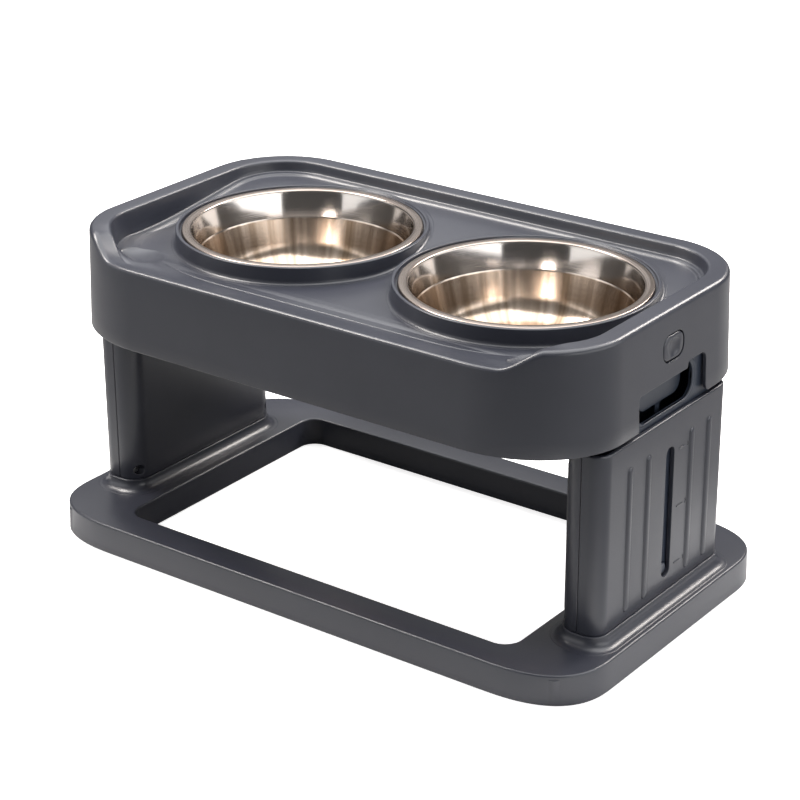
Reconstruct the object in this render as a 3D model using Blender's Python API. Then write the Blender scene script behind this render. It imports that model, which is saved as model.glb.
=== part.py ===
# Raised pet bowl: a ring base, two hollow legs, a tray that slides up on inner legs, and two lift-out bowls.
# Metres, +Z up. The origin is on the ground under the middle of the base, +X is the tray's right end,
# and the tray's low rim faces -Y.
import math

import bmesh
import bpy
from mathutils import Vector

# Tray
tray_length = 0.462
tray_width = 0.2634
tray_back_corner = 0.067
tray_front_corner = (0.082, 0.070)
tray_height = 0.0772
tray_draft = 0.0025
tray_wall = 0.0026
rim_width = 0.0166
rim_drop = 0.0147
rim_rise = (math.radians(16.5), math.radians(42.5))
floor_front_depth = 0.0234
floor_back_depth = 0.0111
floor_ramp = (-0.025, 0.095)
front_ramp = 0.016

# Bowls and their collars
bowl_diameter = 0.1862
bowl_depth = 0.058
bowl_gap = 0.0196
bowl_back_shift = 0.014
bowl_sheet = 0.0012
collar_wall = 0.0034
collar_clearance = 0.0015

# Legs
leg_thickness = 0.0352
leg_depth = 0.172
leg_height = 0.1373
leg_wall = 0.0032
leg_outer_corner = 0.012
leg_inner_corner = 0.016
leg_back_shift = 0.001
leg_set_in = 0.0008
leg_floor = 0.0075
mechanism_shift = 0.005
slot_width = 0.0114
slot_from_top = 0.0232
pin_from_bottom = 0.0175
height_steps = 2
rib_offsets = (-0.0542, -0.0295, 0.0295, 0.0542)
rib_radius = 0.003
rib_proud = 0.0015

# Base
base_margin_x = 0.0143
base_margin_y = 0.0105
base_height = 0.024
base_corner_x = 0.074
base_corner_y = 0.056
base_corner_bulge = 2.6
base_end_bar = 0.0673
base_side_bar = 0.0274
base_wall = 0.0034
opening_corner = 0.014
boss_height = 0.0092
boss_fillet = 0.008
boss_ledge = 0.0012

# Inner legs, buttons and lock bars
inner_wall = 0.0024
inner_clearance = 0.0008
inner_end_room = 0.017
base_screw_inset = 0.036
tray_screw_inset = 0.016
window_half = 0.0371
window_drop = 0.046
lip_proud = 0.0007
button_width = 0.0276
button_height = 0.0192
button_below_rim = 0.0279
button_corner = 0.006
lock_plate_width = 0.0568
lock_plate_thickness = 0.0024
lock_strip_width = 0.014
pin_radius = 0.0041

# Fits and small parts
gap = 0.0003
hole_clearance = 0.0003
screw_radius = 0.0018
screw_head_radius = 0.0038
screw_head = 0.0024
pad_length = 0.040
pad_width = 0.016
pad_thickness = 0.0015
pad_lift = 0.0006
spring_radius = 0.005
spring_wire = 0.0006
spring_turns = 5

# Levels and places worked out from the dimensions above
base_top = base_height
boss_top = base_top + boss_height
leg_bottom = boss_top + gap
leg_top = leg_bottom + leg_height
tray_bottom = leg_top + 0.0037
rim_top = tray_bottom + tray_height
rim_low = rim_top - rim_drop
floor_front = rim_top - floor_front_depth
floor_back = rim_top - floor_back_depth
collar_top = floor_back + 0.001
tray_half_x = tray_length / 2
tray_half_y = tray_width / 2
leg_outer_x = tray_half_x + tray_draft - leg_set_in
leg_inner_x = leg_outer_x - leg_thickness
leg_middle_x = (leg_outer_x + leg_inner_x) / 2
leg_front_y = leg_back_shift - leg_depth / 2
leg_back_y = leg_back_shift + leg_depth / 2
base_half_x = leg_outer_x + base_margin_x
base_half_y = tray_half_y + base_margin_y
opening_half_x = base_half_x - base_end_bar
opening_half_y = base_half_y - base_side_bar
bowl_radius = bowl_diameter / 2
bowl_spacing = bowl_diameter + bowl_gap
collar_inner = bowl_radius + collar_clearance
collar_outer = collar_inner + collar_wall
well_radius = bowl_radius - 0.0046
well_bottom = floor_front - 0.006
slot_top = leg_top - slot_from_top
pin_high = slot_top - slot_width / 2
pin_rest = leg_bottom + pin_from_bottom
height_step = (pin_high - gap - pin_rest) / height_steps
slot_bottom = pin_rest - slot_width / 2 - gap
inner_outer_x = leg_outer_x - leg_wall - inner_clearance
inner_inner_x = leg_inner_x + leg_wall + inner_clearance
inner_front_y = leg_front_y + inner_end_room
inner_back_y = leg_back_y - inner_end_room
inner_top = floor_front - tray_wall - 0.0009
inner_bottom = leg_bottom + leg_floor + 0.0015
window_bottom = inner_top - window_drop
button_z = rim_top - button_below_rim
lock_face_x = inner_outer_x - 0.0067
shell_screw_inset = 0.0074
shell_screw_levels = (leg_bottom + 0.0078, leg_top - 0.0105)
base_screw_ys = (leg_front_y + base_screw_inset, leg_back_y - base_screw_inset)
base_screw_x = leg_outer_x - 0.0107
tray_screw_ys = (inner_front_y + tray_screw_inset, inner_back_y - tray_screw_inset)
tray_screw_x = inner_outer_x - 0.0077
pad_x = base_half_x - 0.040
pad_y = base_half_y - 0.0205
sides = {"left": -1, "right": 1}


def clear_scene():
    for item in list(bpy.data.objects):
        bpy.data.objects.remove(item, do_unlink=True)


def make_material(name, color, roughness, metallic=0.0):
    material = bpy.data.materials.new(name)
    material.use_nodes = True
    shader = material.node_tree.nodes["Principled BSDF"]
    shader.inputs["Base Color"].default_value = (*color, 1.0)
    shader.inputs["Roughness"].default_value = roughness
    shader.inputs["Metallic"].default_value = metallic
    return material


def smooth_step(value):
    value = min(max(value, 0.0), 1.0)
    return value * value * (3 - 2 * value)


# A rounded outline seen from above, anticlockwise from the front right corner. Each corner is an arc, or a
# fuller curve where bulge is over 2, and each side in y is split into side_steps.
def outline(x0, x1, y0, y1, front, back, steps=6, bulge=2.0, side_steps=1):
    corners = (
        (x1, y0, -90, front),
        (x1, y1, 0, back),
        (x0, y1, 90, back),
        (x0, y0, 180, front),
    )
    points = []
    for number, (x, y, start, radii) in enumerate(corners):
        radius_x, radius_y = radii if isinstance(radii, tuple) else (radii, radii)
        sign_x = 1 if x == x1 else -1
        sign_y = 1 if y == y1 else -1
        center_x = x - sign_x * radius_x
        center_y = y - sign_y * radius_y
        for step in range(steps + 1):
            angle = math.radians(start + 90 * step / steps)
            cosine, sine = math.cos(angle), math.sin(angle)
            reach_x = math.copysign(abs(cosine) ** (2 / bulge), cosine) * radius_x
            reach_y = math.copysign(abs(sine) ** (2 / bulge), sine) * radius_y
            points.append((center_x + reach_x, center_y + reach_y))
        if number in (0, 2):
            end_radius = back if number == 0 else front
            end_y = end_radius[1] if isinstance(end_radius, tuple) else end_radius
            target_y = (y1 - end_y) if number == 0 else (y0 + end_y)
            last_x, last_y = points[-1]
            for step in range(1, side_steps):
                points.append((last_x, last_y + (target_y - last_y) * step / side_steps))
    return points


def level_ring(points, z):
    return [Vector((x, y, z)) for x, y in points]


def add_object(name, mesh_data):
    bmesh.ops.recalc_face_normals(mesh_data, faces=mesh_data.faces)
    mesh = bpy.data.meshes.new(name)
    mesh_data.to_mesh(mesh)
    mesh_data.free()
    item = bpy.data.objects.new(name, mesh)
    bpy.context.scene.collection.objects.link(item)
    return item


# A closed body through rings with equal numbers of points, capped at both ends.
def loft(name, rings):
    data = bmesh.new()
    rows = [[data.verts.new(point) for point in ring] for ring in rings]
    for lower, upper in zip(rows, rows[1:]):
        count = len(lower)
        for number in range(count):
            following = (number + 1) % count
            data.faces.new((lower[number], lower[following], upper[following], upper[number]))
    data.faces.new(rows[0])
    data.faces.new(rows[-1])
    return add_object(name, data)


# An outline of (u, v) points carried along an axis: z takes them as (x, y) and x takes them as (y, z).
def slab(name, points, axis, start, end):
    if axis == "z":
        rings = [[Vector((u, v, level)) for u, v in points] for level in (start, end)]
    else:
        rings = [[Vector((level, u, v)) for u, v in points] for level in (start, end)]
    return loft(name, rings)


# A stack of outlines, each at a level along the axis, for pieces whose edges are rounded.
def stack(name, layers, axis):
    rings = []
    for points, level in layers:
        if axis == "z":
            rings.append([Vector((u, v, level)) for u, v in points])
        else:
            rings.append([Vector((level, u, v)) for u, v in points])
    return loft(name, rings)


def box(name, x, y, z):
    points = outline(x[0], x[1], y[0], y[1], 0.0005, 0.0005, 1)
    return slab(name, points, "z", z[0], z[1])


# A rod or a stepped pin: the profile holds (distance along the axis, radius) pairs from one end to the other.
def turned_rod(name, origin, axis, profile, segments=16):
    turn = Vector((0, 0, 1)).rotation_difference(Vector(axis)).to_matrix()
    rings = []
    for distance, radius in profile:
        ring = []
        for number in range(segments):
            angle = 2 * math.pi * (number + 0.5) / segments
            point = Vector((radius * math.cos(angle), radius * math.sin(angle), distance))
            ring.append(turn @ point + Vector(origin))
        rings.append(ring)
    return loft(name, rings)


# A closed (radius, height) profile turned about an upright axis through center. A profile that starts and
# ends on the axis closes there.
def turned_ring(name, profile, center, segments):
    data = bmesh.new()
    columns = []
    for number in range(segments):
        angle = 2 * math.pi * number / segments
        columns.append((math.cos(angle), math.sin(angle)))
    rows = []
    for radius, height in profile:
        if radius < 1e-7:
            rows.append([data.verts.new((center[0], center[1], height))])
        else:
            rows.append([
                data.verts.new((center[0] + radius * cosine, center[1] + radius * sine, height))
                for cosine, sine in columns
            ])
    pairs = list(zip(rows, rows[1:]))
    if len(rows[0]) > 1:
        pairs.append((rows[-1], rows[0]))
    for lower, upper in pairs:
        for number in range(segments):
            following = (number + 1) % segments
            if len(lower) == 1:
                data.faces.new((lower[0], upper[following], upper[number]))
            elif len(upper) == 1:
                data.faces.new((lower[number], lower[following], upper[0]))
            else:
                data.faces.new((lower[number], lower[following], upper[following], upper[number]))
    return add_object(name, data)


def combine(target, tool, operation):
    modifier = target.modifiers.new(operation.lower(), "BOOLEAN")
    modifier.operation = operation
    modifier.solver = "EXACT"
    modifier.object = tool
    graph = bpy.context.evaluated_depsgraph_get()
    result = bpy.data.meshes.new_from_object(target.evaluated_get(graph))
    target.modifiers.clear()
    old = target.data
    target.data = result
    result.name = target.name
    bpy.data.meshes.remove(old)
    bpy.data.objects.remove(tool, do_unlink=True)
    return target


def cut(target, *tools):
    for tool in tools:
        combine(target, tool, "DIFFERENCE")
    return target


def join(target, *tools):
    for tool in tools:
        combine(target, tool, "UNION")
    return target


# Gives a piece its material and shading, mirrors it for the left end, and hangs it on its parent so that
# its origin is the parent's.
def settle(item, material, side=1, parent=None):
    data = bmesh.new()
    data.from_mesh(item.data)
    if side < 0:
        bmesh.ops.scale(data, vec=(-1, 1, 1), verts=data.verts)
    bmesh.ops.remove_doubles(data, verts=data.verts, dist=1e-6)
    bmesh.ops.dissolve_degenerate(data, dist=1e-6, edges=data.edges)
    bmesh.ops.recalc_face_normals(data, faces=data.faces)
    if parent is not None:
        bmesh.ops.translate(data, vec=-parent.matrix_world.translation, verts=data.verts)
        item.parent = parent
    data.to_mesh(item.data)
    data.free()
    item.data.materials.clear()
    item.data.materials.append(material)
    item.data.shade_smooth()
    item.data.set_sharp_from_angle(angle=math.radians(35))
    return item


def add_axis(name, location, parent=None):
    empty = bpy.data.objects.new(name, None)
    empty.empty_display_size = 0.02
    bpy.context.scene.collection.objects.link(empty)
    if parent is not None:
        empty.parent = parent
        empty.location = Vector(location) - parent.matrix_world.translation
    else:
        empty.location = location
    bpy.context.view_layer.update()
    return empty


def leg_outline(grow, steps=6):
    inner = max(leg_inner_corner + grow, 0.002)
    outer = max(leg_outer_corner + grow, 0.002)
    x0, x1 = leg_inner_x - grow, leg_outer_x + grow
    y0, y1 = leg_front_y - grow, leg_back_y + grow
    corners = ((x1, y0, -90, outer), (x1, y1, 0, outer), (x0, y1, 90, inner), (x0, y0, 180, inner))
    points = []
    for x, y, start, radius in corners:
        center_x = x - radius if x == x1 else x + radius
        center_y = y - radius if y == y1 else y + radius
        for step in range(steps + 1):
            angle = math.radians(start + 90 * step / steps)
            points.append((center_x + radius * math.cos(angle), center_y + radius * math.sin(angle)))
    return points


def base_outline(inset):
    return outline(
        -base_half_x + inset, base_half_x - inset, -base_half_y + inset, base_half_y - inset,
        (base_corner_x, base_corner_y), (base_corner_x, base_corner_y), 9, base_corner_bulge,
    )


def opening_outline(grow):
    half_x, half_y = opening_half_x + grow, opening_half_y + grow
    radius = opening_corner + grow
    return outline(-half_x, half_x, -half_y, half_y, radius, radius, 5)


def mirrored(points, side):
    return points if side > 0 else [(-x, y) for x, y in reversed(points)]


# The socket that a leg stands on: a short wall that runs out into the base's top in a hollow curve.
def make_boss(side):
    layers = [(leg_outline(boss_ledge + boss_fillet), base_top - 0.004)]
    for step in range(6):
        angle = math.radians(90 * step / 5)
        grow = boss_ledge + boss_fillet * (1 - math.sin(angle))
        layers.append((leg_outline(grow), base_top + boss_fillet * (1 - math.cos(angle))))
    layers.append((leg_outline(boss_ledge), boss_top - 0.0004))
    layers.append((leg_outline(boss_ledge - 0.0004), boss_top))
    return stack("boss", [(mirrored(points, side), level) for points, level in layers], "z")


def cut_base_pockets(base):
    top = base_top - base_wall
    floor = -0.001
    inner_x = opening_half_x + base_wall
    outer_x = base_half_x - base_wall
    for sign in (-1, 1):
        near = sign * (opening_half_y + base_wall)
        far = sign * (base_half_y - base_wall)
        low, high = min(near, far), max(near, far)
        points = outline(-opening_half_x + 0.012, opening_half_x - 0.012, low, high, 0.004, 0.004, 3)
        cut(base, slab("pocket", points, "z", floor, top))
    web = 0.011
    front, back = base_screw_ys
    spans = ((leg_front_y - 0.010, front - web), (front + web, back - web), (back + web, leg_back_y + 0.010))
    for sign in (-1, 1):
        for low, high in spans:
            x0, x1 = sorted((sign * inner_x, sign * outer_x))
            points = outline(x0, x1, low, high, 0.004, 0.004, 3)
            cut(base, slab("pocket", points, "z", floor, top))


def make_base(material):
    bottom = pad_lift
    layers = [
        (base_outline(0.0008), bottom),
        (base_outline(0.0), bottom + 0.0008),
        (base_outline(0.0006), base_top - 0.0014),
        (base_outline(0.0011), base_top - 0.0004),
        (base_outline(0.0022), base_top),
    ]
    base = stack("base_frame", layers, "z")
    for side in sides.values():
        join(base, make_boss(side))
    rounding = [
        (opening_outline(0.0), bottom - 0.001),
        (opening_outline(0.0), base_top - 0.0013),
        (opening_outline(0.0005), base_top - 0.0004),
        (opening_outline(0.0020), base_top + 0.0005),
    ]
    cut(base, stack("opening", rounding, "z"))
    cut_base_pockets(base)
    for sign_x in (-1, 1):
        for sign_y in (-1, 1):
            grow = gap
            x, y = sign_x * pad_x, sign_y * pad_y
            half_x, half_y = pad_length / 2 + grow, pad_width / 2 + grow
            points = outline(x - half_x, x + half_x, y - half_y, y + half_y, 0.006, 0.006, 3)
            cut(base, slab("pad_seat", points, "z", -0.001, pad_thickness + gap))
        for y in base_screw_ys:
            x = sign_x * base_screw_x
            head_seat = base_top - 0.002
            wide = screw_head_radius + 0.0006
            narrow = screw_radius + hole_clearance
            cut(base, turned_rod("well", (x, y, -0.001), (0, 0, 1), ((0, wide), (head_seat + 0.001, wide))))
            hole = ((0, narrow), (boss_top - head_seat + 0.003, narrow))
            cut(base, turned_rod("hole", (x, y, head_seat - 0.001), (0, 0, 1), hole, 12))
    return settle(base, material)


def make_pads(material):
    for side_name, sign_x in sides.items():
        for end_name, sign_y in (("front", -1), ("back", 1)):
            x, y = sign_x * pad_x, sign_y * pad_y
            half_x, half_y = pad_length / 2, pad_width / 2
            points = outline(x - half_x, x + half_x, y - half_y, y + half_y, 0.006, 0.006, 3)
            settle(slab(f"foot_pad_{end_name}_{side_name}", points, "z", 0, pad_thickness), material)


def make_leg_body(name):
    layers = [
        (leg_outline(-0.0006), leg_bottom),
        (leg_outline(0.0), leg_bottom + 0.0006),
        (leg_outline(0.0), leg_top - 0.0014),
        (leg_outline(-0.0005), leg_top - 0.0004),
        (leg_outline(-0.0016), leg_top),
    ]
    return stack(name, layers, "z")


# The hollow of a leg, less the four posts that its screws bite into.
def make_leg_cavity(level):
    cavity = slab("cavity", leg_outline(-leg_wall), "z", level, leg_top + 0.002)
    for y in (leg_front_y + shell_screw_inset, leg_back_y - shell_screw_inset):
        for z in shell_screw_levels:
            origin = (leg_inner_x - 0.001, y, z)
            cut(cavity, turned_rod("post", origin, (1, 0, 0), ((0, 0.0065), (leg_thickness + 0.002, 0.0065))))
    return cavity


# A half-round ridge with tapered ends on the outer face of a leg.
def make_rib(y):
    low, high = leg_bottom + 0.0065, leg_top - 0.0212
    origin = (leg_outer_x - rib_radius + rib_proud, y, low)
    length = high - low
    profile = (
        (0, rib_radius * 0.35), (0.0012, rib_radius * 0.8), (0.003, rib_radius),
        (length - 0.003, rib_radius), (length - 0.0012, rib_radius * 0.8), (length, rib_radius * 0.35),
    )
    return turned_rod("rib", origin, (0, 0, 1), profile, 12)


def slot_outline():
    radius = slot_width / 2
    y = mechanism_shift
    points = []
    for center_z, start in ((slot_top - radius, 0), (slot_bottom + radius, 180)):
        for step in range(9):
            angle = math.radians(start + 180 * step / 8)
            points.append((y + radius * math.cos(angle), center_z + radius * math.sin(angle)))
    return points


def make_outer_shell(side_name, side, material):
    shell = make_leg_body(f"leg_{side_name}_outer_shell")
    for offset in rib_offsets:
        join(shell, make_rib(mechanism_shift + offset))
    span_y = (leg_front_y - 0.01, leg_back_y + 0.01)
    span_z = (leg_bottom - 0.01, leg_top + 0.01)
    cut(shell, box("inner_half", (leg_inner_x - 0.01, leg_middle_x + gap / 2), span_y, span_z))
    cut(shell, make_leg_cavity(leg_bottom + leg_floor))
    cut(shell, slab("slot", slot_outline(), "x", leg_outer_x - leg_wall - 0.002, leg_outer_x + 0.003))
    narrow = screw_radius + hole_clearance
    for y in (leg_front_y + shell_screw_inset, leg_back_y - shell_screw_inset):
        for z in shell_screw_levels:
            depth = leg_thickness / 2 - 0.0055
            hole = ((0, narrow), (depth, narrow))
            cut(shell, turned_rod("pilot", (leg_middle_x - 0.001, y, z), (1, 0, 0), hole, 12))
    for y in base_screw_ys:
        hole = ((0, narrow), (leg_floor + 0.002, narrow))
        cut(shell, turned_rod("pilot", (base_screw_x, y, leg_bottom - 0.001), (0, 0, 1), hole, 12))
    return settle(shell, material, side)


def make_inner_shell(side_name, side, material):
    shell = make_leg_body(f"leg_{side_name}_inner_shell")
    span_y = (leg_front_y - 0.01, leg_back_y + 0.01)
    span_z = (leg_bottom - 0.01, leg_top + 0.01)
    cut(shell, box("outer_half", (leg_middle_x - gap / 2, leg_outer_x + 0.01), span_y, span_z))
    cut(shell, make_leg_cavity(leg_bottom - 0.001))
    wide = screw_head_radius + 0.0002
    narrow = screw_radius + hole_clearance
    seat = 0.0095
    for y in (leg_front_y + shell_screw_inset, leg_back_y - shell_screw_inset):
        for z in shell_screw_levels:
            origin = (leg_inner_x - 0.001, y, z)
            cut(shell, turned_rod("well", origin, (1, 0, 0), ((0, wide), (seat + 0.001, wide))))
            hole = ((seat, narrow), (leg_thickness / 2 + 0.002, narrow))
            cut(shell, turned_rod("hole", origin, (1, 0, 0), hole, 12))
    return settle(shell, material, side)


# A pan-head screw with a shallow cross recess left plain; the head sits gap clear of its seat.
def make_screw(name, seat, axis, length, material, side=1, parent=None):
    radius = screw_head_radius - 0.0002
    start = -screw_head - gap
    profile = (
        (start, radius * 0.72), (start + 0.0008, radius), (-gap, radius),
        (-gap, screw_radius), (length - 0.001, screw_radius), (length, screw_radius * 0.6),
    )
    screw = turned_rod(name, seat, axis, profile, 12)
    return settle(screw, material, side, parent)


def make_leg_screws(side_name, side, material):
    seat_x = leg_inner_x + 0.0095
    ends = (("front", leg_front_y + shell_screw_inset), ("back", leg_back_y - shell_screw_inset))
    for end_name, y in ends:
        for level_name, z in zip(("low", "high"), shell_screw_levels):
            name = f"screw_leg_{side_name}_{end_name}_{level_name}"
            make_screw(name, (seat_x, y, z), (1, 0, 0), 0.016, material, side)
    for end_name, y in zip(("front", "back"), base_screw_ys):
        name = f"screw_base_{side_name}_{end_name}"
        make_screw(name, (base_screw_x, y, base_top - 0.002), (0, 0, 1), 0.017, material, side)


# The telescopic leg fixed under the tray: a flat tube with two roof tabs for its screws, and a tall window
# in its outer wall for the lock plate and for a hand.
def make_inner_leg(side_name, side, material, parent):
    x0, x1 = inner_inner_x, inner_outer_x
    y0, y1 = inner_front_y, inner_back_y
    body = slab(f"inner_leg_{side_name}", outline(x0, x1, y0, y1, 0.008, 0.008, 4), "z", inner_bottom, inner_top)
    radius = 0.008 - inner_wall
    wall = inner_wall
    hollow = outline(x0 + wall, x1 - wall, y0 + wall, y1 - wall, radius, radius, 4)
    cut(body, slab("hollow", hollow, "z", inner_bottom - 0.001, inner_top - wall))
    left, right = -window_half, window_half
    lip = 0.008
    drop = 0.0038
    ring = outline(left - lip, right + lip, window_bottom - drop, inner_top - 0.0205, 0.009, 0.002, 4)
    join(body, slab("lip", ring, "x", x1 - wall / 2, x1 + lip_proud))
    opening = outline(left, right, window_bottom, inner_top + 0.01, 0.007, 0.002, 4)
    cut(body, slab("window", opening, "x", x1 - wall - 0.002, x1 + 0.003))
    roof = (x0 + wall + 0.0006, x1 + 0.004)
    cut(body, box("roof_gap", roof, (left, right), (inner_top - wall - 0.001, inner_top + 0.001)))
    pin = pin_radius + 0.0006
    start = (x1 - wall - 0.002, mechanism_shift, pin_rest)
    cut(body, turned_rod("pin_hole", start, (1, 0, 0), ((0, pin), (wall + 0.004, pin))))
    narrow = screw_radius + hole_clearance
    for y in tray_screw_ys:
        start = (tray_screw_x, y, inner_top - wall - 0.002)
        cut(body, turned_rod("hole", start, (0, 0, 1), ((0, narrow), (wall + 0.004, narrow)), 12))
    return settle(body, material, side, parent)


def lock_outline():
    half = lock_plate_width / 2
    middle = mechanism_shift - 0.001
    low = window_bottom + 0.0006
    radius = 0.006
    strip = lock_strip_width / 2
    center = mechanism_shift
    points = [(middle + half, inner_top), (middle - half, inner_top)]
    for step in range(5):
        angle = math.radians(180 + 90 * step / 4)
        points.append((middle - half + radius + radius * math.cos(angle), low + radius + radius * math.sin(angle)))
    points.append((center - strip, low))
    for step in range(9):
        angle = math.radians(180 + 180 * step / 8)
        points.append((center + strip * math.cos(angle), pin_rest + strip * math.sin(angle)))
    points.append((center + strip, low))
    for step in range(5):
        angle = math.radians(270 + 90 * step / 4)
        points.append((middle + half - radius + radius * math.cos(angle), low + radius + radius * math.sin(angle)))
    return points


# The flat bar behind the button: a wide plate in the hand hole and a strip down to the lock pin.
def make_lock_bar(side_name, side, material, parent):
    back = lock_face_x - lock_plate_thickness
    bar = slab(f"lock_bar_{side_name}", lock_outline(), "x", back, lock_face_x)
    hole = 0.0023
    start = (back - 0.001, mechanism_shift, pin_rest)
    profile = ((0, hole), (lock_plate_thickness + 0.002, hole))
    cut(bar, turned_rod("hole", start, (1, 0, 0), profile, 12))
    return settle(bar, material, side, parent)


def make_lock_pin(side_name, side, material, parent):
    back = lock_plate_thickness + gap
    tip = leg_outer_x - 0.0022 - lock_face_x
    profile = (
        (-back - 0.0018, 0.0030), (-back - 0.0010, 0.0036), (-back, 0.0036), (-back, 0.0020),
        (gap, 0.0020), (gap, pin_radius), (tip - 0.0006, pin_radius), (tip, pin_radius - 0.0006),
    )
    pin = turned_rod(f"lock_pin_{side_name}", (lock_face_x, mechanism_shift, pin_rest), (1, 0, 0), profile, 20)
    return settle(pin, material, side, parent)


def skirt_x(z):
    return tray_half_x + tray_draft * (rim_top - z) / tray_height


def button_outline(grow, steps=5):
    y, z = mechanism_shift - 0.001, button_z
    half_y, half_z = button_width / 2 + grow, button_height / 2 + grow
    radius = button_corner + grow
    return outline(y - half_y, y + half_y, z - half_z, z + half_z, radius, radius, steps)


# The release button: a rounded cap with a dished oval, a flange behind the skirt and a stem to the lock bar.
def make_button(side_name, side, material, parent):
    face = skirt_x(button_z) + 0.0003
    inside = skirt_x(button_z) - tray_wall
    layers = [
        (button_outline(0.0014), inside - 0.0024),
        (button_outline(0.0014), inside - 0.0007),
        (button_outline(0.0), inside - 0.0007),
        (button_outline(0.0), face - 0.0008),
        (button_outline(-0.0008), face),
    ]
    button = stack(f"button_{side_name}", layers, "x")
    y, z = mechanism_shift - 0.001, button_z
    half = 0.008
    low, high = z - button_height / 2 + 0.001, inner_top - 0.0005
    stem = outline(y - half, y + half, low, high, 0.001, 0.001, 1)
    join(button, slab("stem", stem, "x", lock_face_x + gap, inside - 0.002))
    dish = bmesh.new()
    bmesh.ops.create_uvsphere(dish, u_segments=16, v_segments=8, radius=1.0)
    bmesh.ops.scale(dish, vec=(0.0022, 0.0062, 0.0064), verts=dish.verts)
    bmesh.ops.translate(dish, vec=(face + 0.0010, y, z), verts=dish.verts)
    cut(button, add_object("dish", dish))
    return settle(button, material, side, parent)


def make_spring(side_name, side, material, parent):
    start = inner_inner_x + inner_wall + gap + spring_wire
    end = lock_face_x - lock_plate_thickness - gap - spring_wire
    center_y = mechanism_shift - 0.001
    center_z = button_z - 0.020
    curve = bpy.data.curves.new(f"spring_{side_name}", "CURVE")
    curve.dimensions = "3D"
    curve.bevel_depth = spring_wire
    curve.bevel_resolution = 1
    curve.use_fill_caps = True
    line = curve.splines.new("POLY")
    count = spring_turns * 10 + 1
    line.points.add(count - 1)
    for number in range(count):
        angle = 2 * math.pi * number / 10
        x = start + (end - start) * number / (count - 1)
        y = center_y + spring_radius * math.cos(angle)
        z = center_z + spring_radius * math.sin(angle)
        line.points[number].co = (x, y, z, 1.0)
    holder = bpy.data.objects.new(f"spring_{side_name}_wire", curve)
    bpy.context.scene.collection.objects.link(holder)
    graph = bpy.context.evaluated_depsgraph_get()
    mesh = bpy.data.meshes.new_from_object(holder.evaluated_get(graph))
    bpy.data.objects.remove(holder, do_unlink=True)
    spring = bpy.data.objects.new(f"spring_{side_name}", mesh)
    bpy.context.scene.collection.objects.link(spring)
    return settle(spring, material, side, parent)


tray_corner_steps = 15
tray_side_steps = 6


def tray_outline(inset, front_inset=None):
    front = inset if front_inset is None else front_inset
    corner = tuple(size - inset for size in tray_front_corner)
    return outline(
        -tray_half_x + inset, tray_half_x - inset, -tray_half_y + front, tray_half_y - inset,
        corner, tray_back_corner - inset, tray_corner_steps, side_steps=tray_side_steps,
    )


# The share of the rim's full rise at each point of a tray outline: none along the front, all of it at the
# sides and back, and a smooth curve between them round the two front corners.
def rim_shares():
    shares = []
    corner = tray_corner_steps + 1
    start, end = rim_rise
    for step in range(corner):
        angle = math.radians(90 * step / tray_corner_steps)
        shares.append(smooth_step((angle - start) / (end - start)))
    shares += [1.0] * (tray_side_steps - 1 + 2 * corner + tray_side_steps - 1)
    shares += shares[corner - 1::-1]
    return shares


def rim_ring(inset, drop):
    levels = [rim_low + share * rim_drop - drop for share in rim_shares()]
    return [Vector((x, y, z)) for (x, y), z in zip(tray_outline(inset), levels)]


def floor_level(y):
    low, high = floor_ramp
    return floor_front + (floor_back - floor_front) * smooth_step((y - low) / (high - low))


def floor_ring(inset, front_inset, raised):
    points = tray_outline(inset, front_inset)
    return [Vector((x, y, floor_level(y) + raised)) for x, y in points]


# Fills a tray-shaped ring whose two halves mirror each other with strips that run across the tray.
def fill_across(data, row):
    count = len(row)
    half = count // 2
    for number in range(half - 1):
        data.faces.new((row[number], row[number + 1], row[count - 2 - number], row[count - 1 - number]))


def make_tray_shell():
    edge = 0.0008
    rings = [
        floor_ring(rim_width + 0.004, rim_width + front_ramp, 0),
        floor_ring(rim_width + 0.0015, rim_width + front_ramp * 0.55, 0.0008),
        floor_ring(rim_width + 0.0002, rim_width + 0.003, 0.004),
        rim_ring(rim_width, 0.0026),
        rim_ring(rim_width - 0.0006, 0.0008),
        rim_ring(rim_width - 0.0020, 0.0002),
        rim_ring(0.0030, 0.0),
        rim_ring(0.0010, 0.0006),
        rim_ring(0.0001, 0.0022),
        level_ring(tray_outline(-tray_draft), tray_bottom + edge),
        level_ring(tray_outline(-tray_draft + edge), tray_bottom),
        level_ring(tray_outline(tray_wall - tray_draft), tray_bottom),
        rim_ring(tray_wall, tray_wall + 0.0004),
        rim_ring(rim_width - tray_wall, tray_wall + 0.0004),
        floor_ring(rim_width - tray_wall, rim_width - tray_wall + 0.0002, -tray_wall),
    ]
    data = bmesh.new()
    rows = [[data.verts.new(point) for point in ring] for ring in rings]
    for lower, upper in zip(rows, rows[1:]):
        count = len(lower)
        for number in range(count):
            following = (number + 1) % count
            data.faces.new((lower[number], lower[following], upper[following], upper[number]))
    fill_across(data, rows[0])
    fill_across(data, rows[-1])
    return add_object("tray", data)


# The raised wall round a bowl, as a solid plug that the bowl's well is then cut from.
def make_collar(side):
    center = (side * bowl_spacing / 2, bowl_back_shift)
    buried = floor_front - tray_wall * 0.6
    profile = (
        (0.0, collar_top), (collar_outer - 0.0012, collar_top), (collar_outer - 0.0004, collar_top - 0.0008),
        (collar_outer + 0.0004, floor_front + 0.0016), (collar_outer + 0.0016, buried),
        (well_radius + tray_wall, buried), (well_radius + tray_wall, well_bottom), (0.0, well_bottom),
    )
    return turned_ring("collar", profile, center, 56)


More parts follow.
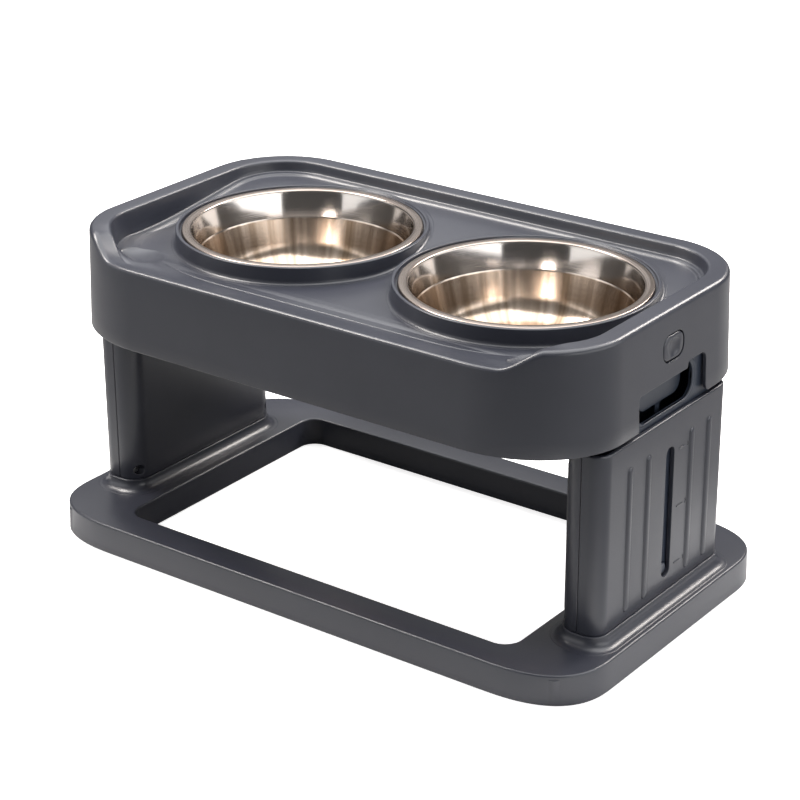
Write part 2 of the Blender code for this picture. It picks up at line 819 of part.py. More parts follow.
# The well a bowl drops into, with a ledge for the bowl's rim.
def make_well(side):
    center = (side * bowl_spacing / 2, bowl_back_shift)
    ledge = collar_top - collar_wall
    profile = (
        (0.0, collar_top + 0.02), (collar_inner + 0.0008, collar_top + 0.02),
        (collar_inner + 0.0008, collar_top), (collar_inner, collar_top - 0.0008),
        (collar_inner, ledge), (well_radius, ledge), (well_radius, well_bottom - 0.01), (0.0, well_bottom - 0.01),
    )
    return turned_ring("well", profile, center, 56)


def notch_outline():
    left, right = -0.0413, 0.0510
    low = tray_bottom
    top = button_z - button_height / 2 - 0.0152
    raised = top + 0.0065
    points = [(left, low - 0.002), (left, top - 0.002), (left + 0.002, top)]
    points += [(0.031, top), (0.036, raised - 0.001), (0.038, raised)]
    for step in range(5):
        angle = math.radians(90 - 90 * step / 4)
        points.append((right - 0.006 + 0.006 * math.cos(angle), raised - 0.006 + 0.006 * math.sin(angle)))
    for step in range(5):
        angle = math.radians(180 + 90 * step / 4)
        points.append((right + 0.006 + 0.006 * math.cos(angle), low + 0.006 + 0.006 * math.sin(angle)))
    points.append((right + 0.006, low - 0.002))
    return points


def make_dimple(sign):
    data = bmesh.new()
    bmesh.ops.create_uvsphere(data, u_segments=20, v_segments=12, radius=1.0)
    bmesh.ops.scale(data, vec=(0.0150, 0.0150, 0.0050), verts=data.verts)
    x = sign * (tray_half_x - rim_width - 0.0245)
    y = -tray_half_y + 0.046
    bmesh.ops.translate(data, vec=(x, y, floor_front + 0.0027), verts=data.verts)
    return add_object("dimple", data)


def make_tray(material, parent):
    tray = make_tray_shell()
    for side in (-1, 1):
        join(tray, make_collar(side))
    for side in (-1, 1):
        cut(tray, make_well(side))
        cut(tray, make_dimple(side))
    for side in (-1, 1):
        for y in tray_screw_ys:
            low = inner_top + gap
            height = rim_top - tray_wall + 0.0008 - low
            origin = (side * tray_screw_x, y, low)
            join(tray, turned_rod("post", origin, (0, 0, 1), ((0, 0.0045), (height, 0.0045)), 16))
            narrow = screw_radius + hole_clearance
            origin = (side * tray_screw_x, y, low - 0.001)
            cut(tray, turned_rod("pilot", origin, (0, 0, 1), ((0, narrow), (0.018, narrow)), 12))
        inside, outside = tray_half_x - 0.008, tray_half_x + 0.006
        span = sorted((side * inside, side * outside))
        cut(tray, slab("notch", notch_outline(), "x", *span))
        cut(tray, slab("button_hole", button_outline(0.0005), "x", *span))
    return settle(tray, material, 1, parent)


# A drawn steel bowl: the inner surface from the middle out to the rim, then back under it.
def make_bowl(side_name, side, material, parent):
    center = (side * bowl_spacing / 2, bowl_back_shift)
    top = collar_top - 0.0006
    radius = bowl_radius
    depth = bowl_depth
    sheet = bowl_sheet
    inner = (
        (0.0, -depth), (radius - 0.0305, -depth), (radius - 0.0235, -depth + 0.0030),
        (radius - 0.0175, -depth + 0.0095), (radius - 0.0155, -depth + 0.0180),
        (radius - 0.0136, -0.0222), (radius - 0.0104, -0.0200), (radius - 0.0080, -0.0024),
        (radius - 0.0066, -0.0006), (radius - 0.0046, 0.0), (radius - 0.0010, -0.0003), (radius, -0.0013),
        (radius, -0.0024),
    )
    outer = (
        (radius - 0.0012, -0.0024), (radius - 0.0052, -0.0014), (radius - 0.0080 + sheet, -0.0036),
        (radius - 0.0104 + sheet, -0.0208), (radius - 0.0136 + sheet, -0.0230),
        (radius - 0.0155 + sheet, -depth + 0.0180), (radius - 0.0175 + sheet, -depth + 0.0088),
        (radius - 0.0229, -depth + 0.0019), (radius - 0.0300, -depth - sheet), (0.0, -depth - sheet),
    )
    profile = [(r, top + z) for r, z in inner + outer]
    bowl = turned_ring(f"bowl_{side_name}", profile, center, 48)
    return settle(bowl, material, 1, parent)


def build():
    clear_scene()
    plastic = make_material("slate_plastic", (0.066, 0.069, 0.074), 0.42)
    inner_plastic = make_material("dark_plastic", (0.052, 0.058, 0.066), 0.5)
    steel = make_material("bowl_steel", (0.76, 0.72, 0.68), 0.14, 1.0)
    screw_steel = make_material("screw_steel", (0.5, 0.5, 0.52), 0.35, 1.0)
    rubber = make_material("pad_rubber", (0.02, 0.02, 0.022), 0.8)

    make_base(plastic)
    make_pads(rubber)
    lift = add_axis("tray_lift", (0, 0, leg_top))
    make_tray(plastic, lift)
    for side_name, side in sides.items():
        make_outer_shell(side_name, side, plastic)
        make_inner_shell(side_name, side, plastic)
        make_leg_screws(side_name, side, screw_steel)
        make_inner_leg(side_name, side, inner_plastic, lift)
        for end_name, y in zip(("front", "back"), tray_screw_ys):
            seat = (tray_screw_x, y, inner_top - inner_wall)
            name = f"screw_tray_{side_name}_{end_name}"
            make_screw(name, seat, (0, 0, 1), 0.014, screw_steel, side, lift)
        make_spring(side_name, side, screw_steel, lift)
        press = add_axis(f"button_press_{side_name}", (side * skirt_x(button_z), 0.004, button_z), lift)
        make_button(side_name, side, plastic, press)
        lock = add_axis(f"lock_slide_{side_name}", (side * lock_face_x, mechanism_shift, pin_rest), lift)
        make_lock_bar(side_name, side, inner_plastic, lock)
        make_lock_pin(side_name, side, inner_plastic, lock)
        seat = (side * bowl_spacing / 2, bowl_back_shift, collar_top)
        make_bowl(side_name, side, steel, add_axis(f"bowl_seat_{side_name}", seat, lift))


build()
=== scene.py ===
# Raised pet bowl: satin slate plastic, two drawn steel bowls, on a pale floor.
import math
import bmesh
import bpy
import numpy as np
from mathutils import Matrix, Vector


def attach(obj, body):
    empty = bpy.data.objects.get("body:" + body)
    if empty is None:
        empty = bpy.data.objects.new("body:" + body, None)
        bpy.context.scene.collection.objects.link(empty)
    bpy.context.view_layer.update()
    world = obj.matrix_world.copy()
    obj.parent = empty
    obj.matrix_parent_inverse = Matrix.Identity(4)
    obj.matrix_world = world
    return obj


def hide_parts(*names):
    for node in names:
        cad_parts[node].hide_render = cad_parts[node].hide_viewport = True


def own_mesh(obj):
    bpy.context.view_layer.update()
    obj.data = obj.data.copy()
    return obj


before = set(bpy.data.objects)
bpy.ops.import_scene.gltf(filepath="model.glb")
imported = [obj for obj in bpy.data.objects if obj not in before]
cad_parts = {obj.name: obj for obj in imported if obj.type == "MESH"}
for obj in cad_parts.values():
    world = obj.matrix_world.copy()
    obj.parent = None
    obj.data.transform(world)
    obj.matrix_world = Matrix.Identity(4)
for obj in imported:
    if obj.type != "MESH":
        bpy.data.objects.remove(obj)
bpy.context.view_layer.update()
scene = bpy.context.scene
bodySides = {"left": -1, "right": 1}
smoothAngle = math.radians(32)
# Sizes are in metres and angles in degrees.
print("frame loaded:", len(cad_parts), "nodes")


# Small helpers for shapes

def smoothStep(value):
    value = np.clip(value, 0.0, 1.0)
    return value * value * (3 - 2 * value)


def mix(low, high, share):
    return low + (high - low) * share


# Angles along an arc, in radians, from a start and a sweep in degrees.
def arc(steps, start=0, sweep=90):
    return [math.radians(start + sweep * step / steps) for step in range(steps + 1)]


def arcPoints(u, v, radius, steps, start=0, sweep=90):
    return [(u + radius * math.cos(t), v + radius * math.sin(t)) for t in arc(steps, start, sweep)]


# A quarter round from (u, v + dv) to (u + du, v).
def quarter(u, v, du, dv, steps):
    return [(u + du * (1 - math.cos(t)), v + dv * (1 - math.sin(t))) for t in arc(steps)]


def pick(values, names):
    return [values[name] for name in names.split()]


outlineCorners = ((1, -1, -90), (1, 1, 0), (-1, 1, 90), (-1, -1, 180))


# Rounded outline seen from above, anticlockwise from the front end of the front right corner.
# Each corner is (radiusX, radiusY); a fullness over 2 makes it squarer.
def roundedOutline(halfX, halfY, front, back, steps, fullness=2.0, sideSteps=1, center=(0.0, 0.0)):
    points = []
    for signX, signY, start in outlineCorners:
        radiusX, radiusY = front if signY < 0 else back
        for angle in arc(steps, start):
            c, s = math.cos(angle), math.sin(angle)
            c = math.copysign(abs(c) ** (2 / fullness), c)
            s = math.copysign(abs(s) ** (2 / fullness), s)
            points.append((signX * (halfX - radiusX) + c * radiusX + center[0],
                           signY * (halfY - radiusY) + s * radiusY + center[1]))
        if signX != signY:
            nextRadius = (back if signY < 0 else front)[1]
            target = -signY * (halfY - nextRadius) + center[1]
            x, y = points[-1]
            points += [(x, y + (target - y) * step / sideSteps) for step in range(1, sideSteps)]
    return np.array(points)


# The same with four equal corners, from its centre and half sizes.
def roundedBox(cx, cy, halfX, halfY, radius, steps):
    return roundedOutline(halfX, halfY, (radius, radius), (radius, radius), steps, center=(cx, cy))


def boxPlan(x0, x1, y0, y1, radius, steps=8):
    return roundedBox((x0 + x1) / 2, (y0 + y1) / 2, (x1 - x0) / 2, (y1 - y0) / 2, radius, steps)


def addObject(name, data):
    piece = bpy.data.objects.new(name, data)
    scene.collection.objects.link(piece)
    return piece


def newObject(name, data):
    bmesh.ops.remove_doubles(data, verts=data.verts, dist=2e-7)
    bmesh.ops.recalc_face_normals(data, faces=data.faces)
    mesh = bpy.data.meshes.new(name)
    data.to_mesh(mesh)
    data.free()
    mesh.shade_smooth()
    mesh.set_sharp_from_angle(angle=smoothAngle)
    return addObject(name, mesh)


# Skins rings of equal length. ends: "cap" fills both end rings, "across" fills them with strips that run
# from side to side, "loop" joins the last ring to the first.
def skin(name, rings, ends="cap"):
    data = bmesh.new()
    rows = [[data.verts.new(point) for point in ring] for ring in rings]
    pairs = list(zip(rows, rows[1:]))
    if ends == "loop":
        pairs.append((rows[-1], rows[0]))
    for lower, upper in pairs:
        for a in range(len(lower)):
            b = (a + 1) % len(lower)
            data.faces.new((lower[a], lower[b], upper[b], upper[a]))
    if ends == "cap":
        data.faces.new(rows[0])
        data.faces.new(rows[-1])
    if ends == "across":
        for row in (rows[0], rows[-1]):
            for a in range(len(row) // 2 - 1):
                data.faces.new((row[a], row[a + 1], row[len(row) - 2 - a], row[len(row) - 1 - a]))
    return newObject(name, data)


def level(points, z):
    return [(x, y, z) for x, y in points]


# A prism of one plan between heights, and one of an outline in y and z between two x.
def column(name, plan, *heights):
    return skin(name, [level(plan, z) for z in heights])


def slab(name, outline, *places):
    return skin(name, [[(x, y, z) for y, z in outline] for x in places])


# A turned body about an upright or lying axis. profile is (radius, distance) pairs; a radius of 0 closes it.
def turned(name, profile, segments, origin=(0, 0, 0), axis=(0, 0, 1)):
    data = bmesh.new()
    origin = Vector(origin)
    turn = Vector((0, 0, 1)).rotation_difference(Vector(axis)).to_matrix()
    angles = [math.tau * a / segments for a in range(segments)]
    rows = []
    for radius, distance in profile:
        if radius < 1e-7:
            rows.append([data.verts.new(turn @ Vector((0, 0, distance)) + origin)] * segments)
            continue
        ring = [Vector((radius * math.cos(a), radius * math.sin(a), distance)) for a in angles]
        rows.append([data.verts.new(turn @ point + origin) for point in ring])
    for lower, upper in zip(rows, rows[1:]):
        for a in range(segments):
            b = (a + 1) % segments
            corners = list(dict.fromkeys((lower[a], lower[b], upper[b], upper[a])))
            if len(corners) > 2:
                data.faces.new(corners)
    return newObject(name, data)


def rod(name, origin, length, radius, axis=(1, 0, 0), segments=32):
    return turned(name, [(0, 0), (radius, 0), (radius, length), (0, length)], segments, origin, axis)


def ellipsoid(name, radii, center, segments, rings):
    data = bmesh.new()
    bmesh.ops.create_uvsphere(data, u_segments=segments, v_segments=rings, radius=1.0)
    bmesh.ops.scale(data, vec=radii, verts=data.verts)
    bmesh.ops.translate(data, vec=center, verts=data.verts)
    return newObject(name, data)


# Turns a polyline of (u, v, cornerRadius) into one with each corner as an arc.
def roundCorners(corners, steps=5):
    points = []
    for number, (u, v, radius) in enumerate(corners):
        if radius == 0 or number in (0, len(corners) - 1):
            points.append((u, v))
            continue
        here = Vector((u, v))
        before, after = (Vector(corners[number + way][:2]) - here for way in (-1, 1))
        half = before.normalized().angle(after.normalized()) / 2
        reach = min(radius / math.tan(half), before.length * 0.49, after.length * 0.49)
        start, end = here + before.normalized() * reach, here + after.normalized() * reach
        for step in range(steps + 1):
            t = step / steps
            points.append(tuple(start * (1 - t) ** 2 + here * 2 * t * (1 - t) + end * t ** 2))
    return points


def evaluatedMesh(piece):
    return bpy.data.meshes.new_from_object(piece.evaluated_get(bpy.context.evaluated_depsgraph_get()))


def cutAway(piece, *tools):
    for tool in tools:
        modifier = piece.modifiers.new("cut", "BOOLEAN")
        modifier.operation = "DIFFERENCE"
        modifier.solver = "EXACT"
        modifier.object = tool
        mesh = evaluatedMesh(piece)
        piece.modifiers.clear()
        piece.data = mesh
        bpy.data.objects.remove(tool, do_unlink=True)
    piece.data.set_sharp_from_angle(angle=smoothAngle)
    return piece


def mergePieces(name, pieces):
    data = bmesh.new()
    for piece in pieces:
        data.from_mesh(piece.data)
        bpy.data.objects.remove(piece, do_unlink=True)
    mesh = bpy.data.meshes.new(name)
    data.to_mesh(mesh)
    data.free()
    return addObject(name, mesh)


def mirrorX(piece):
    data = bmesh.new()
    data.from_mesh(piece.data)
    bmesh.ops.scale(data, vec=(-1, 1, 1), verts=data.verts)
    bmesh.ops.reverse_faces(data, faces=data.faces)
    data.to_mesh(piece.data)
    data.free()


def dress(piece, material, slot, body, *replaced):
    piece.data.materials.clear()
    piece.data.materials.append(material)
    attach(piece, body)
    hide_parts(*replaced)


# Materials

def hexColor(text):
    values = [int(text[i:i + 2], 16) / 255 for i in (1, 3, 5)]
    return tuple(v / 12.92 if v <= 0.04045 else ((v + 0.055) / 1.055) ** 2.4 for v in values) + (1.0,)


# Gives each named input a value, a socket, or the first output in use of another node.
def setInputs(tree, node, links):
    for key, value in links.items():
        if isinstance(value, bpy.types.Node):
            value = next(out for out in value.outputs if out.enabled)
        if isinstance(value, bpy.types.NodeSocket):
            tree.links.new(value, node.inputs[key])
        else:
            node.inputs[key].default_value = value


def addNode(tree, kind, links=None, **settings):
    node = tree.nodes.new(kind)
    for key, value in settings.items():
        setattr(node, key, value)
    setInputs(tree, node, links or {})
    return node


def newMaterial(name):
    material = bpy.data.materials.new(name)
    material.use_nodes = True
    tree = material.node_tree
    place = addNode(tree, "ShaderNodeTexCoord").outputs["Object"]
    return material, tree, tree.nodes["Principled BSDF"], place


noiseSpan = {"From Min": 0.3, "From Max": 0.7}  # the middle of a noise, where most of its values lie


# Injection-moulded polypropylene, satin: a fine spark-eroded grain, faint flow mottling, slightly uneven
# shine, and edges rounded by the mould. The grain is drawn coarser than the real one, so that it shows.
def mouldedPolypropylene(name, light, dark, roughness=0.33, edge=0.0008, grain=0.00035, flow=0.0909):
    material, tree, shader, place = newMaterial(name)
    mottle = addNode(tree, "ShaderNodeTexNoise",
                     {"Vector": place, "Scale": 1 / flow, "Detail": 3.0, "Roughness": 0.55})
    share = addNode(tree, "ShaderNodeMapRange", {"Value": mottle, **noiseSpan})
    color = addNode(tree, "ShaderNodeMix", {"Factor": share, "A": hexColor(dark), "B": hexColor(light)},
                    data_type="RGBA")
    fine = addNode(tree, "ShaderNodeTexNoise", {"Vector": place, "Scale": 1 / (grain * 2), "Detail": 2.0})
    smear = addNode(tree, "ShaderNodeMapping", {"Vector": place, "Scale": (9.0, 9.0, 26.0)})
    wipe = addNode(tree, "ShaderNodeTexNoise", {"Vector": smear, "Scale": 1.0, "Detail": 4.0})
    grainy = addNode(tree, "ShaderNodeMapRange",
                     {"Value": fine, **noiseSpan, "To Min": -0.03, "To Max": 0.03})
    shine = addNode(tree, "ShaderNodeMapRange",
                    {"Value": wipe, **noiseSpan, "To Min": roughness - 0.02, "To Max": roughness + 0.03})
    rough = addNode(tree, "ShaderNodeMath", {0: grainy, 1: shine}, operation="ADD")
    soft = addNode(tree, "ShaderNodeBevel", {"Radius": edge}, samples=6)
    bump = addNode(tree, "ShaderNodeBump",
                   {"Height": fine, "Strength": 0.10, "Distance": 0.00012, "Normal": soft})
    setInputs(tree, shader, {"Base Color": color, "Roughness": rough, "Normal": bump, "IOR": 1.49,
                             "Specular IOR Level": 0.70})
    return material


# Deep-drawn stainless steel: turned polishing lines round the bowl, a satin rim, a bright upper wall, and a
# satin lower wall whose warm streaks are a painted reflection. The lines are drawn coarser than real ones, so
# that they show.
def drawnSteel(name, center, rimRadius, rimZ, stepDrop, spacing=0.0003846):
    material, tree, shader, place = newMaterial(name)
    local = addNode(tree, "ShaderNodeVectorMath", {0: place, 1: (-center[0], -center[1], -rimZ)},
                    operation="ADD")
    parts = addNode(tree, "ShaderNodeSeparateXYZ", {"Vector": local}).outputs
    flat = addNode(tree, "ShaderNodeVectorMath", {0: local, 1: (1, 1, 0)}, operation="MULTIPLY")
    radius = addNode(tree, "ShaderNodeVectorMath", {0: flat}, operation="LENGTH")
    angle = addNode(tree, "ShaderNodeMath", {0: parts["Y"], 1: parts["X"]}, operation="ARCTAN2")
    onWall = addNode(tree, "ShaderNodeCombineXYZ", {"X": radius, "Y": parts["Z"]})
    lines = addNode(tree, "ShaderNodeVectorMath", {0: onWall, "Scale": 1 / spacing}, operation="SCALE")
    polish = addNode(tree, "ShaderNodeTexNoise", {"Vector": lines, "Scale": 1.0, "Detail": 2.0})
    upwards = addNode(tree, "ShaderNodeMapRange", {"Value": parts["Z"], "From Max": 0.08})
    around = addNode(tree, "ShaderNodeCombineXYZ", {"X": angle, "Y": upwards})
    # painted reflection: streaks round the bowl that place the lower wall's warm colours
    reflectionStreaks = addNode(tree, "ShaderNodeTexNoise", {"Vector": around, "Scale": 6.0, "Detail": 3.0})
    share = addNode(tree, "ShaderNodeMapRange", {"Value": reflectionStreaks, "From Min": 0.35, "From Max": 0.65})
    onRim = addNode(tree, "ShaderNodeMapRange",
                    {"Value": radius, "From Min": rimRadius - 0.0082, "From Max": rimRadius - 0.0072})
    low = addNode(tree, "ShaderNodeMapRange", {"Value": parts["Z"], "From Min": -stepDrop - 0.001,
                                               "From Max": -stepDrop + 0.001, "To Min": 1, "To Max": 0})
    # painted reflection: warm bronze and cream streaks painted into the colour of the wall below the step
    warmReflection = addNode(tree, "ShaderNodeMix",
                   {"Factor": share, "A": hexColor("#8d7863"), "B": hexColor("#dccbbb")}, data_type="RGBA")
    wall = addNode(tree, "ShaderNodeMix", {"Factor": low, "A": hexColor("#d2ccc7"), "B": warmReflection},
                   data_type="RGBA")
    color = addNode(tree, "ShaderNodeMix", {"Factor": onRim, "A": wall, "B": hexColor("#a3978f")},
                    data_type="RGBA")
    satinRim = addNode(tree, "ShaderNodeMapRange", {"Value": onRim, "To Min": 0.10, "To Max": 0.27})
    satinWall = addNode(tree, "ShaderNodeMapRange", {"Value": low, "To Max": 0.10})
    satin = addNode(tree, "ShaderNodeMath", {0: satinRim, 1: satinWall}, operation="ADD")
    uneven = addNode(tree, "ShaderNodeMapRange",
                     {"Value": polish, **noiseSpan, "To Min": -0.03, "To Max": 0.05})
    rough = addNode(tree, "ShaderNodeMath", {0: satin, 1: uneven}, operation="ADD")
    bump = addNode(tree, "ShaderNodeBump", {"Height": polish, "Strength": 0.03, "Distance": 0.00003})
    setInputs(tree, shader, {"Base Color": color, "Roughness": rough, "Normal": bump, "Metallic": 1.0})
    return material


# Zinc-plated steel: pale and slightly clouded, as it leaves the plating bath.
def zincSteel(name, cloud=0.002381):
    material, tree, shader, place = newMaterial(name)
    clouds = addNode(tree, "ShaderNodeTexNoise", {"Vector": place, "Scale": 1 / cloud, "Detail": 3.0})
    color = addNode(tree, "ShaderNodeMix",
                    {"Factor": clouds, "A": hexColor("#8f9194"), "B": hexColor("#c4c5c6")}, data_type="RGBA")
    rough = addNode(tree, "ShaderNodeMapRange",
                    {"Value": clouds, **noiseSpan, "To Min": 0.26, "To Max": 0.42})
    bump = addNode(tree, "ShaderNodeBump", {"Height": clouds, "Strength": 0.15, "Distance": 0.00005})
    setInputs(tree, shader, {"Base Color": color, "Roughness": rough, "Normal": bump, "Metallic": 1.0})
    return material


# Moulded rubber: near black, dry and slightly dusty.
def mouldedRubber(name, speck=0.004167):
    material, tree, shader, place = newMaterial(name)
    dust = addNode(tree, "ShaderNodeTexNoise", {"Vector": place, "Scale": 1 / speck, "Detail": 4.0})
    share = addNode(tree, "ShaderNodeMapRange", {"Value": dust, "From Min": 0.4, "From Max": 0.8})
    color = addNode(tree, "ShaderNodeMix",
                    {"Factor": share, "A": hexColor("#1d1e20"), "B": hexColor("#34353a")}, data_type="RGBA")
    rough = addNode(tree, "ShaderNodeMapRange", {"Value": dust, **noiseSpan, "To Min": 0.75, "To Max": 0.92})
    bump = addNode(tree, "ShaderNodeBump", {"Height": dust, "Strength": 0.3, "Distance": 0.0001})
    setInputs(tree, shader, {"Base Color": color, "Roughness": rough, "Normal": bump})
    return material


slate = mouldedPolypropylene("slatePolypropylene", "#31333c", "#2b2d36")
innerSlate = mouldedPolypropylene("innerSlatePolypropylene", "#2d3543", "#272e3a", 0.38, 0.0006)
zinc = zincSteel("zincPlatedSteel")
rubber = mouldedRubber("mouldedRubber")
print("materials made")




# Tray: rolled rim that drops along the front, ramped floor, two collars

# footAcross and footUp run down the inside of the wall: millimetres in from the rim, and up from the floor.
tray = {
    "halfX": 0.231, "halfY": 0.1317, "frontCorner": (0.082, 0.070), "backCorner": 0.067,
    "bottom": 0.1745, "top": 0.2517, "rimDrop": 0.0147, "rise": (16.5, 42.5), "tip": (8.0, 60.0),
    "hollow": 1.45, "draft": 0.0025, "wall": 0.0026, "edge": 0.0007, "underGap": 0.0005, "underFront": 0.2293,
    "rimWidth": 0.0166, "underRim": 0.0140, "outerRound": (0.0026, 0.0037), "innerRound": (0.0016, 0.0026),
    "creaseFront": 0.0340, "creaseSide": 0.0082, "creaseCorner": (0.110, 0.070), "creaseDepth": 0.0003,
    "footAcross": (0.3, 0.6, 0.9, 1.3, 1.9, 2.7, 3.6, 4.4, 5.0, 5.5, 5.9, 6.4, 7.2, 8.2), "wallSteps": 3,
    "footUp": (0.0, 0.0, 3.2, 2.6, 2.2, 2.05, 2.0, 1.85, 1.55, 1.1, 0.6, 0.25, 0.05, 0.0),
    "floorFront": 0.2283, "floorBack": 0.2406, "floorRamp": (-0.025, 0.095),
    "collarX": 0.1029, "collarY": 0.014, "collarOuter": 0.0974, "collarInner": 0.0946, "collarTop": 0.2416,
    "collarFoot": 0.0032, "collarEdge": 0.0009, "collarLip": 0.0008, "collarSegments": 192,
    "ledge": 0.2382, "wellRadius": 0.0885, "wellBottom": 0.2223, "wellCut": 0.0930, "cutX": (0.222, 0.240),
    "dimple": (0.1775, -0.0862, 0.2309), "dimpleSize": (0.0200, 0.0200, 0.0046),
    "postX": 0.2210, "postYs": (-0.052, 0.054), "postRadius": 0.0045, "postZ": (0.2251, 0.2487),
    "cornerSteps": 44, "sideSteps": 26,
}


def floorLevel(y):
    low, high = tray["floorRamp"]
    return mix(tray["floorFront"], tray["floorBack"], smoothStep((y - low) / (high - low)))


# For each point round the tray: the signs of its corner and its angle there; signY is 0 on the ends.
trayTurns = []
for signX, signY, start in outlineCorners:
    trayTurns += [(signX, signY, 90 * step / tray["cornerSteps"]) for step in range(tray["cornerSteps"] + 1)]
    if signX != signY:
        trayTurns += [(signX, 0, 0.0)] * (tray["sideSteps"] - 1)


# Place of every point round the tray, each at its own inset: the corner centres stay where they are.
def trayPlan(insets):
    front, back = tray["frontCorner"], (tray["backCorner"],) * 2
    points = roundedOutline(tray["halfX"], tray["halfY"], front, back, tray["cornerSteps"],
                            sideSteps=tray["sideSteps"])
    for i, (signX, signY, turn) in enumerate(trayTurns):
        x, y = points[i]
        if signY == 0:
            points[i][0] = x - signX * insets[i]
            continue
        rx, ry = front if signY < 0 else back
        cx, cy = signX * (tray["halfX"] - rx), signY * (tray["halfY"] - ry)
        points[i] = (cx + (x - cx) * (rx - insets[i]) / rx, cy + (y - cy) * (ry - insets[i]) / ry)
    return points


# 0 along the low front, 1 round the sides and back, and a smooth rise between start and end in the corners.
def riseShares(start, end):
    shares = []
    for signX, signY, turn in trayTurns:
        fromFront = turn if signX > 0 else 90 - turn
        shares.append(float(smoothStep((fromFront - start) / (end - start))) if signY < 0 else 1.0)
    return np.array(shares)


# Where the front ramp and the step round the foot of the inner wall meet the floor.
def creasePlan(extra):
    sideInset = tray["rimWidth"] + tray["creaseSide"] + extra
    front = tray["halfY"] - tray["creaseFront"] - extra
    back = tray["halfY"] - sideInset
    fx, fy = tray["creaseCorner"]
    corner = tray["backCorner"] - sideInset
    return roundedOutline(tray["halfX"] - sideInset, (front + back) / 2, (fx - extra, fy - extra),
                          (corner, corner), tray["cornerSteps"], sideSteps=tray["sideSteps"],
                          center=(0.0, (back - front) / 2))


def makeTrayShell():
    share, tip = riseShares(*tray["rise"]), riseShares(*tray["tip"])
    rimZ = tray["top"] - tray["rimDrop"] * (1 - share)
    outer, inside = mix(*tray["outerRound"], share), mix(*tray["innerRound"], share)
    width, wall, draft, edge, bottom = pick(tray, "rimWidth wall draft edge bottom")
    crease = creasePlan(0.0)
    creaseZ = np.array([floorLevel(y) for x, y in crease])
    rings = []

    def ring(insets, heights):
        insets, heights = (np.broadcast_to(values, share.shape) for values in (insets, heights))
        rings.append([(x, y, z) for (x, y), z in zip(trayPlan(insets), heights)])

    def floorRing(plan, lifts):
        lifts = np.broadcast_to(lifts, share.shape)
        rings.append([(x, y, floorLevel(y) + up) for (x, y), up in zip(plan, lifts)])

    # height of the hollow slope that the rim tips into along the front
    def frontSlope(inset):
        along = (tray["creaseFront"] - inset) / (tray["creaseFront"] - outer)
        return creaseZ + (rimZ - creaseZ) * along ** tray["hollow"]

    # underside of the floor, up the inside of the skirt and round its lower edge
    underRim = rimZ - wall - tray["underGap"]
    floorRing(trayPlan(np.full(share.shape, tray["underRim"])), -wall)
    ring(tray["underRim"], mix(tray["underFront"], underRim, share))
    ring(wall, underRim)
    for inset, up in ((wall, 0.3), (wall - edge * 0.3, 0), (edge, 0), (edge * 0.3, 0.3), (0, 1)):
        ring(inset - draft, bottom + edge * up)
    # up the skirt, over the rim and down inside
    tall = tray["top"] - bottom
    for step in range(1, 6):
        height = mix(bottom + edge, rimZ - outer, step / 6)
        ring(-draft * (tray["top"] - height) / tall, height)
    for inset, height in quarter(-draft * outer / tall, rimZ, outer, -outer, 8):
        ring(inset, height)
    for across in (0.25, 0.5, 0.75):
        inset = mix(outer, width - inside, across)
        ring(inset, mix(frontSlope(inset), rimZ, tip))
    for inset, height in quarter(width, rimZ, -inside, -inside, 7)[::-1]:
        ring(inset, mix(frontSlope(inset), height, tip))
    # the front falls in one hollow slope; elsewhere a wall drops to a rounded step
    crest = np.array(rings[-1])
    room = crest[:, 2] - creaseZ
    wallSteps, last = tray["wallSteps"], tray["footAcross"][-1]
    for step, (across, up) in enumerate(zip(tray["footAcross"], tray["footUp"]), 1):
        t = step / len(tray["footUp"])
        wallFoot = tray["footUp"][wallSteps - 1] / 1000
        wallUp = mix(room, wallFoot, step / wallSteps) if step <= wallSteps else up / 1000
        plan = mix(crest[:, :2], crease, mix(t, across / last, tip)[:, None])
        lift = mix(room * (1 - t) ** tray["hollow"], wallUp, tip)
        rings.append([(x, y, z) for (x, y), z in zip(plan, creaseZ + lift)])
    groove = tray["creaseDepth"] * (1 - share)
    for extra, deep in ((0.0003, groove), (0.0008, groove), (0.0011, 0.0)):
        floorRing(creasePlan(extra), -deep)
    rings.reverse()
    return skin("tray", rings, "across")


# The wall round a bowl. Its foot runs out into the floor, whose height changes from front to back.
def makeCollar(side):
    cx, cy = side * tray["collarX"], tray["collarY"]
    outer, inside, top, foot = pick(tray, "collarOuter collarInner collarTop collarFoot")
    lip, well, skirt = tray["collarLip"], tray["wellRadius"], tray["wellRadius"] + tray["wall"]
    rows = []
    for a in range(tray["collarSegments"]):
        angle = math.tau * a / tray["collarSegments"]
        c, s = math.cos(angle), math.sin(angle)
        low = float(floorLevel(cy + s * (outer + foot)))
        climb = min(foot, max(top - low - 0.0012, 0.0004))
        edge = min(tray["collarEdge"], (top - low - climb) * 0.6)
        profile = [(outer + foot + 0.0002, low - 0.0006)]
        profile += quarter(outer, low + 0.00002, foot, climb, 6)[::-1]
        profile += quarter(outer, top, -edge, -edge, 5)
        profile += quarter(inside, top, lip, -lip, 5)[::-1]
        profile += [(inside, tray["ledge"]), (well, tray["ledge"]), (well, tray["wellBottom"]),
                    (skirt, tray["wellBottom"]), (skirt, tray["floorFront"] - 0.0018)]
        rows.append([(cx + r * c, cy + r * s, z) for r, z in profile])
    return skin("collar", list(zip(*rows)), "loop")


notch = {"left": -0.0413, "right": 0.0497, "top": 0.2012, "raised": 0.2062, "step": 0.0235,
         "stepWidth": 0.0022, "corner": 0.006, "slant": 0.002, "below": 0.002}
button = {"y": 0.004, "z": 0.2238, "width": 0.0270, "height": 0.0186, "corner": 0.0078, "gap": 0.0010,
          "face": 0.2322, "edge": 0.0017, "flange": 0.0014, "flangeX": (0.2269, 0.2286),
          "dishWidth": 0.0104, "dishHeight": 0.0089, "dishDepth": 0.0015, "dishBulge": 0.0040,
          "stem": (-0.004, 0.012, 0.2152, 0.2243), "stemX": (0.2223, 0.2275)}


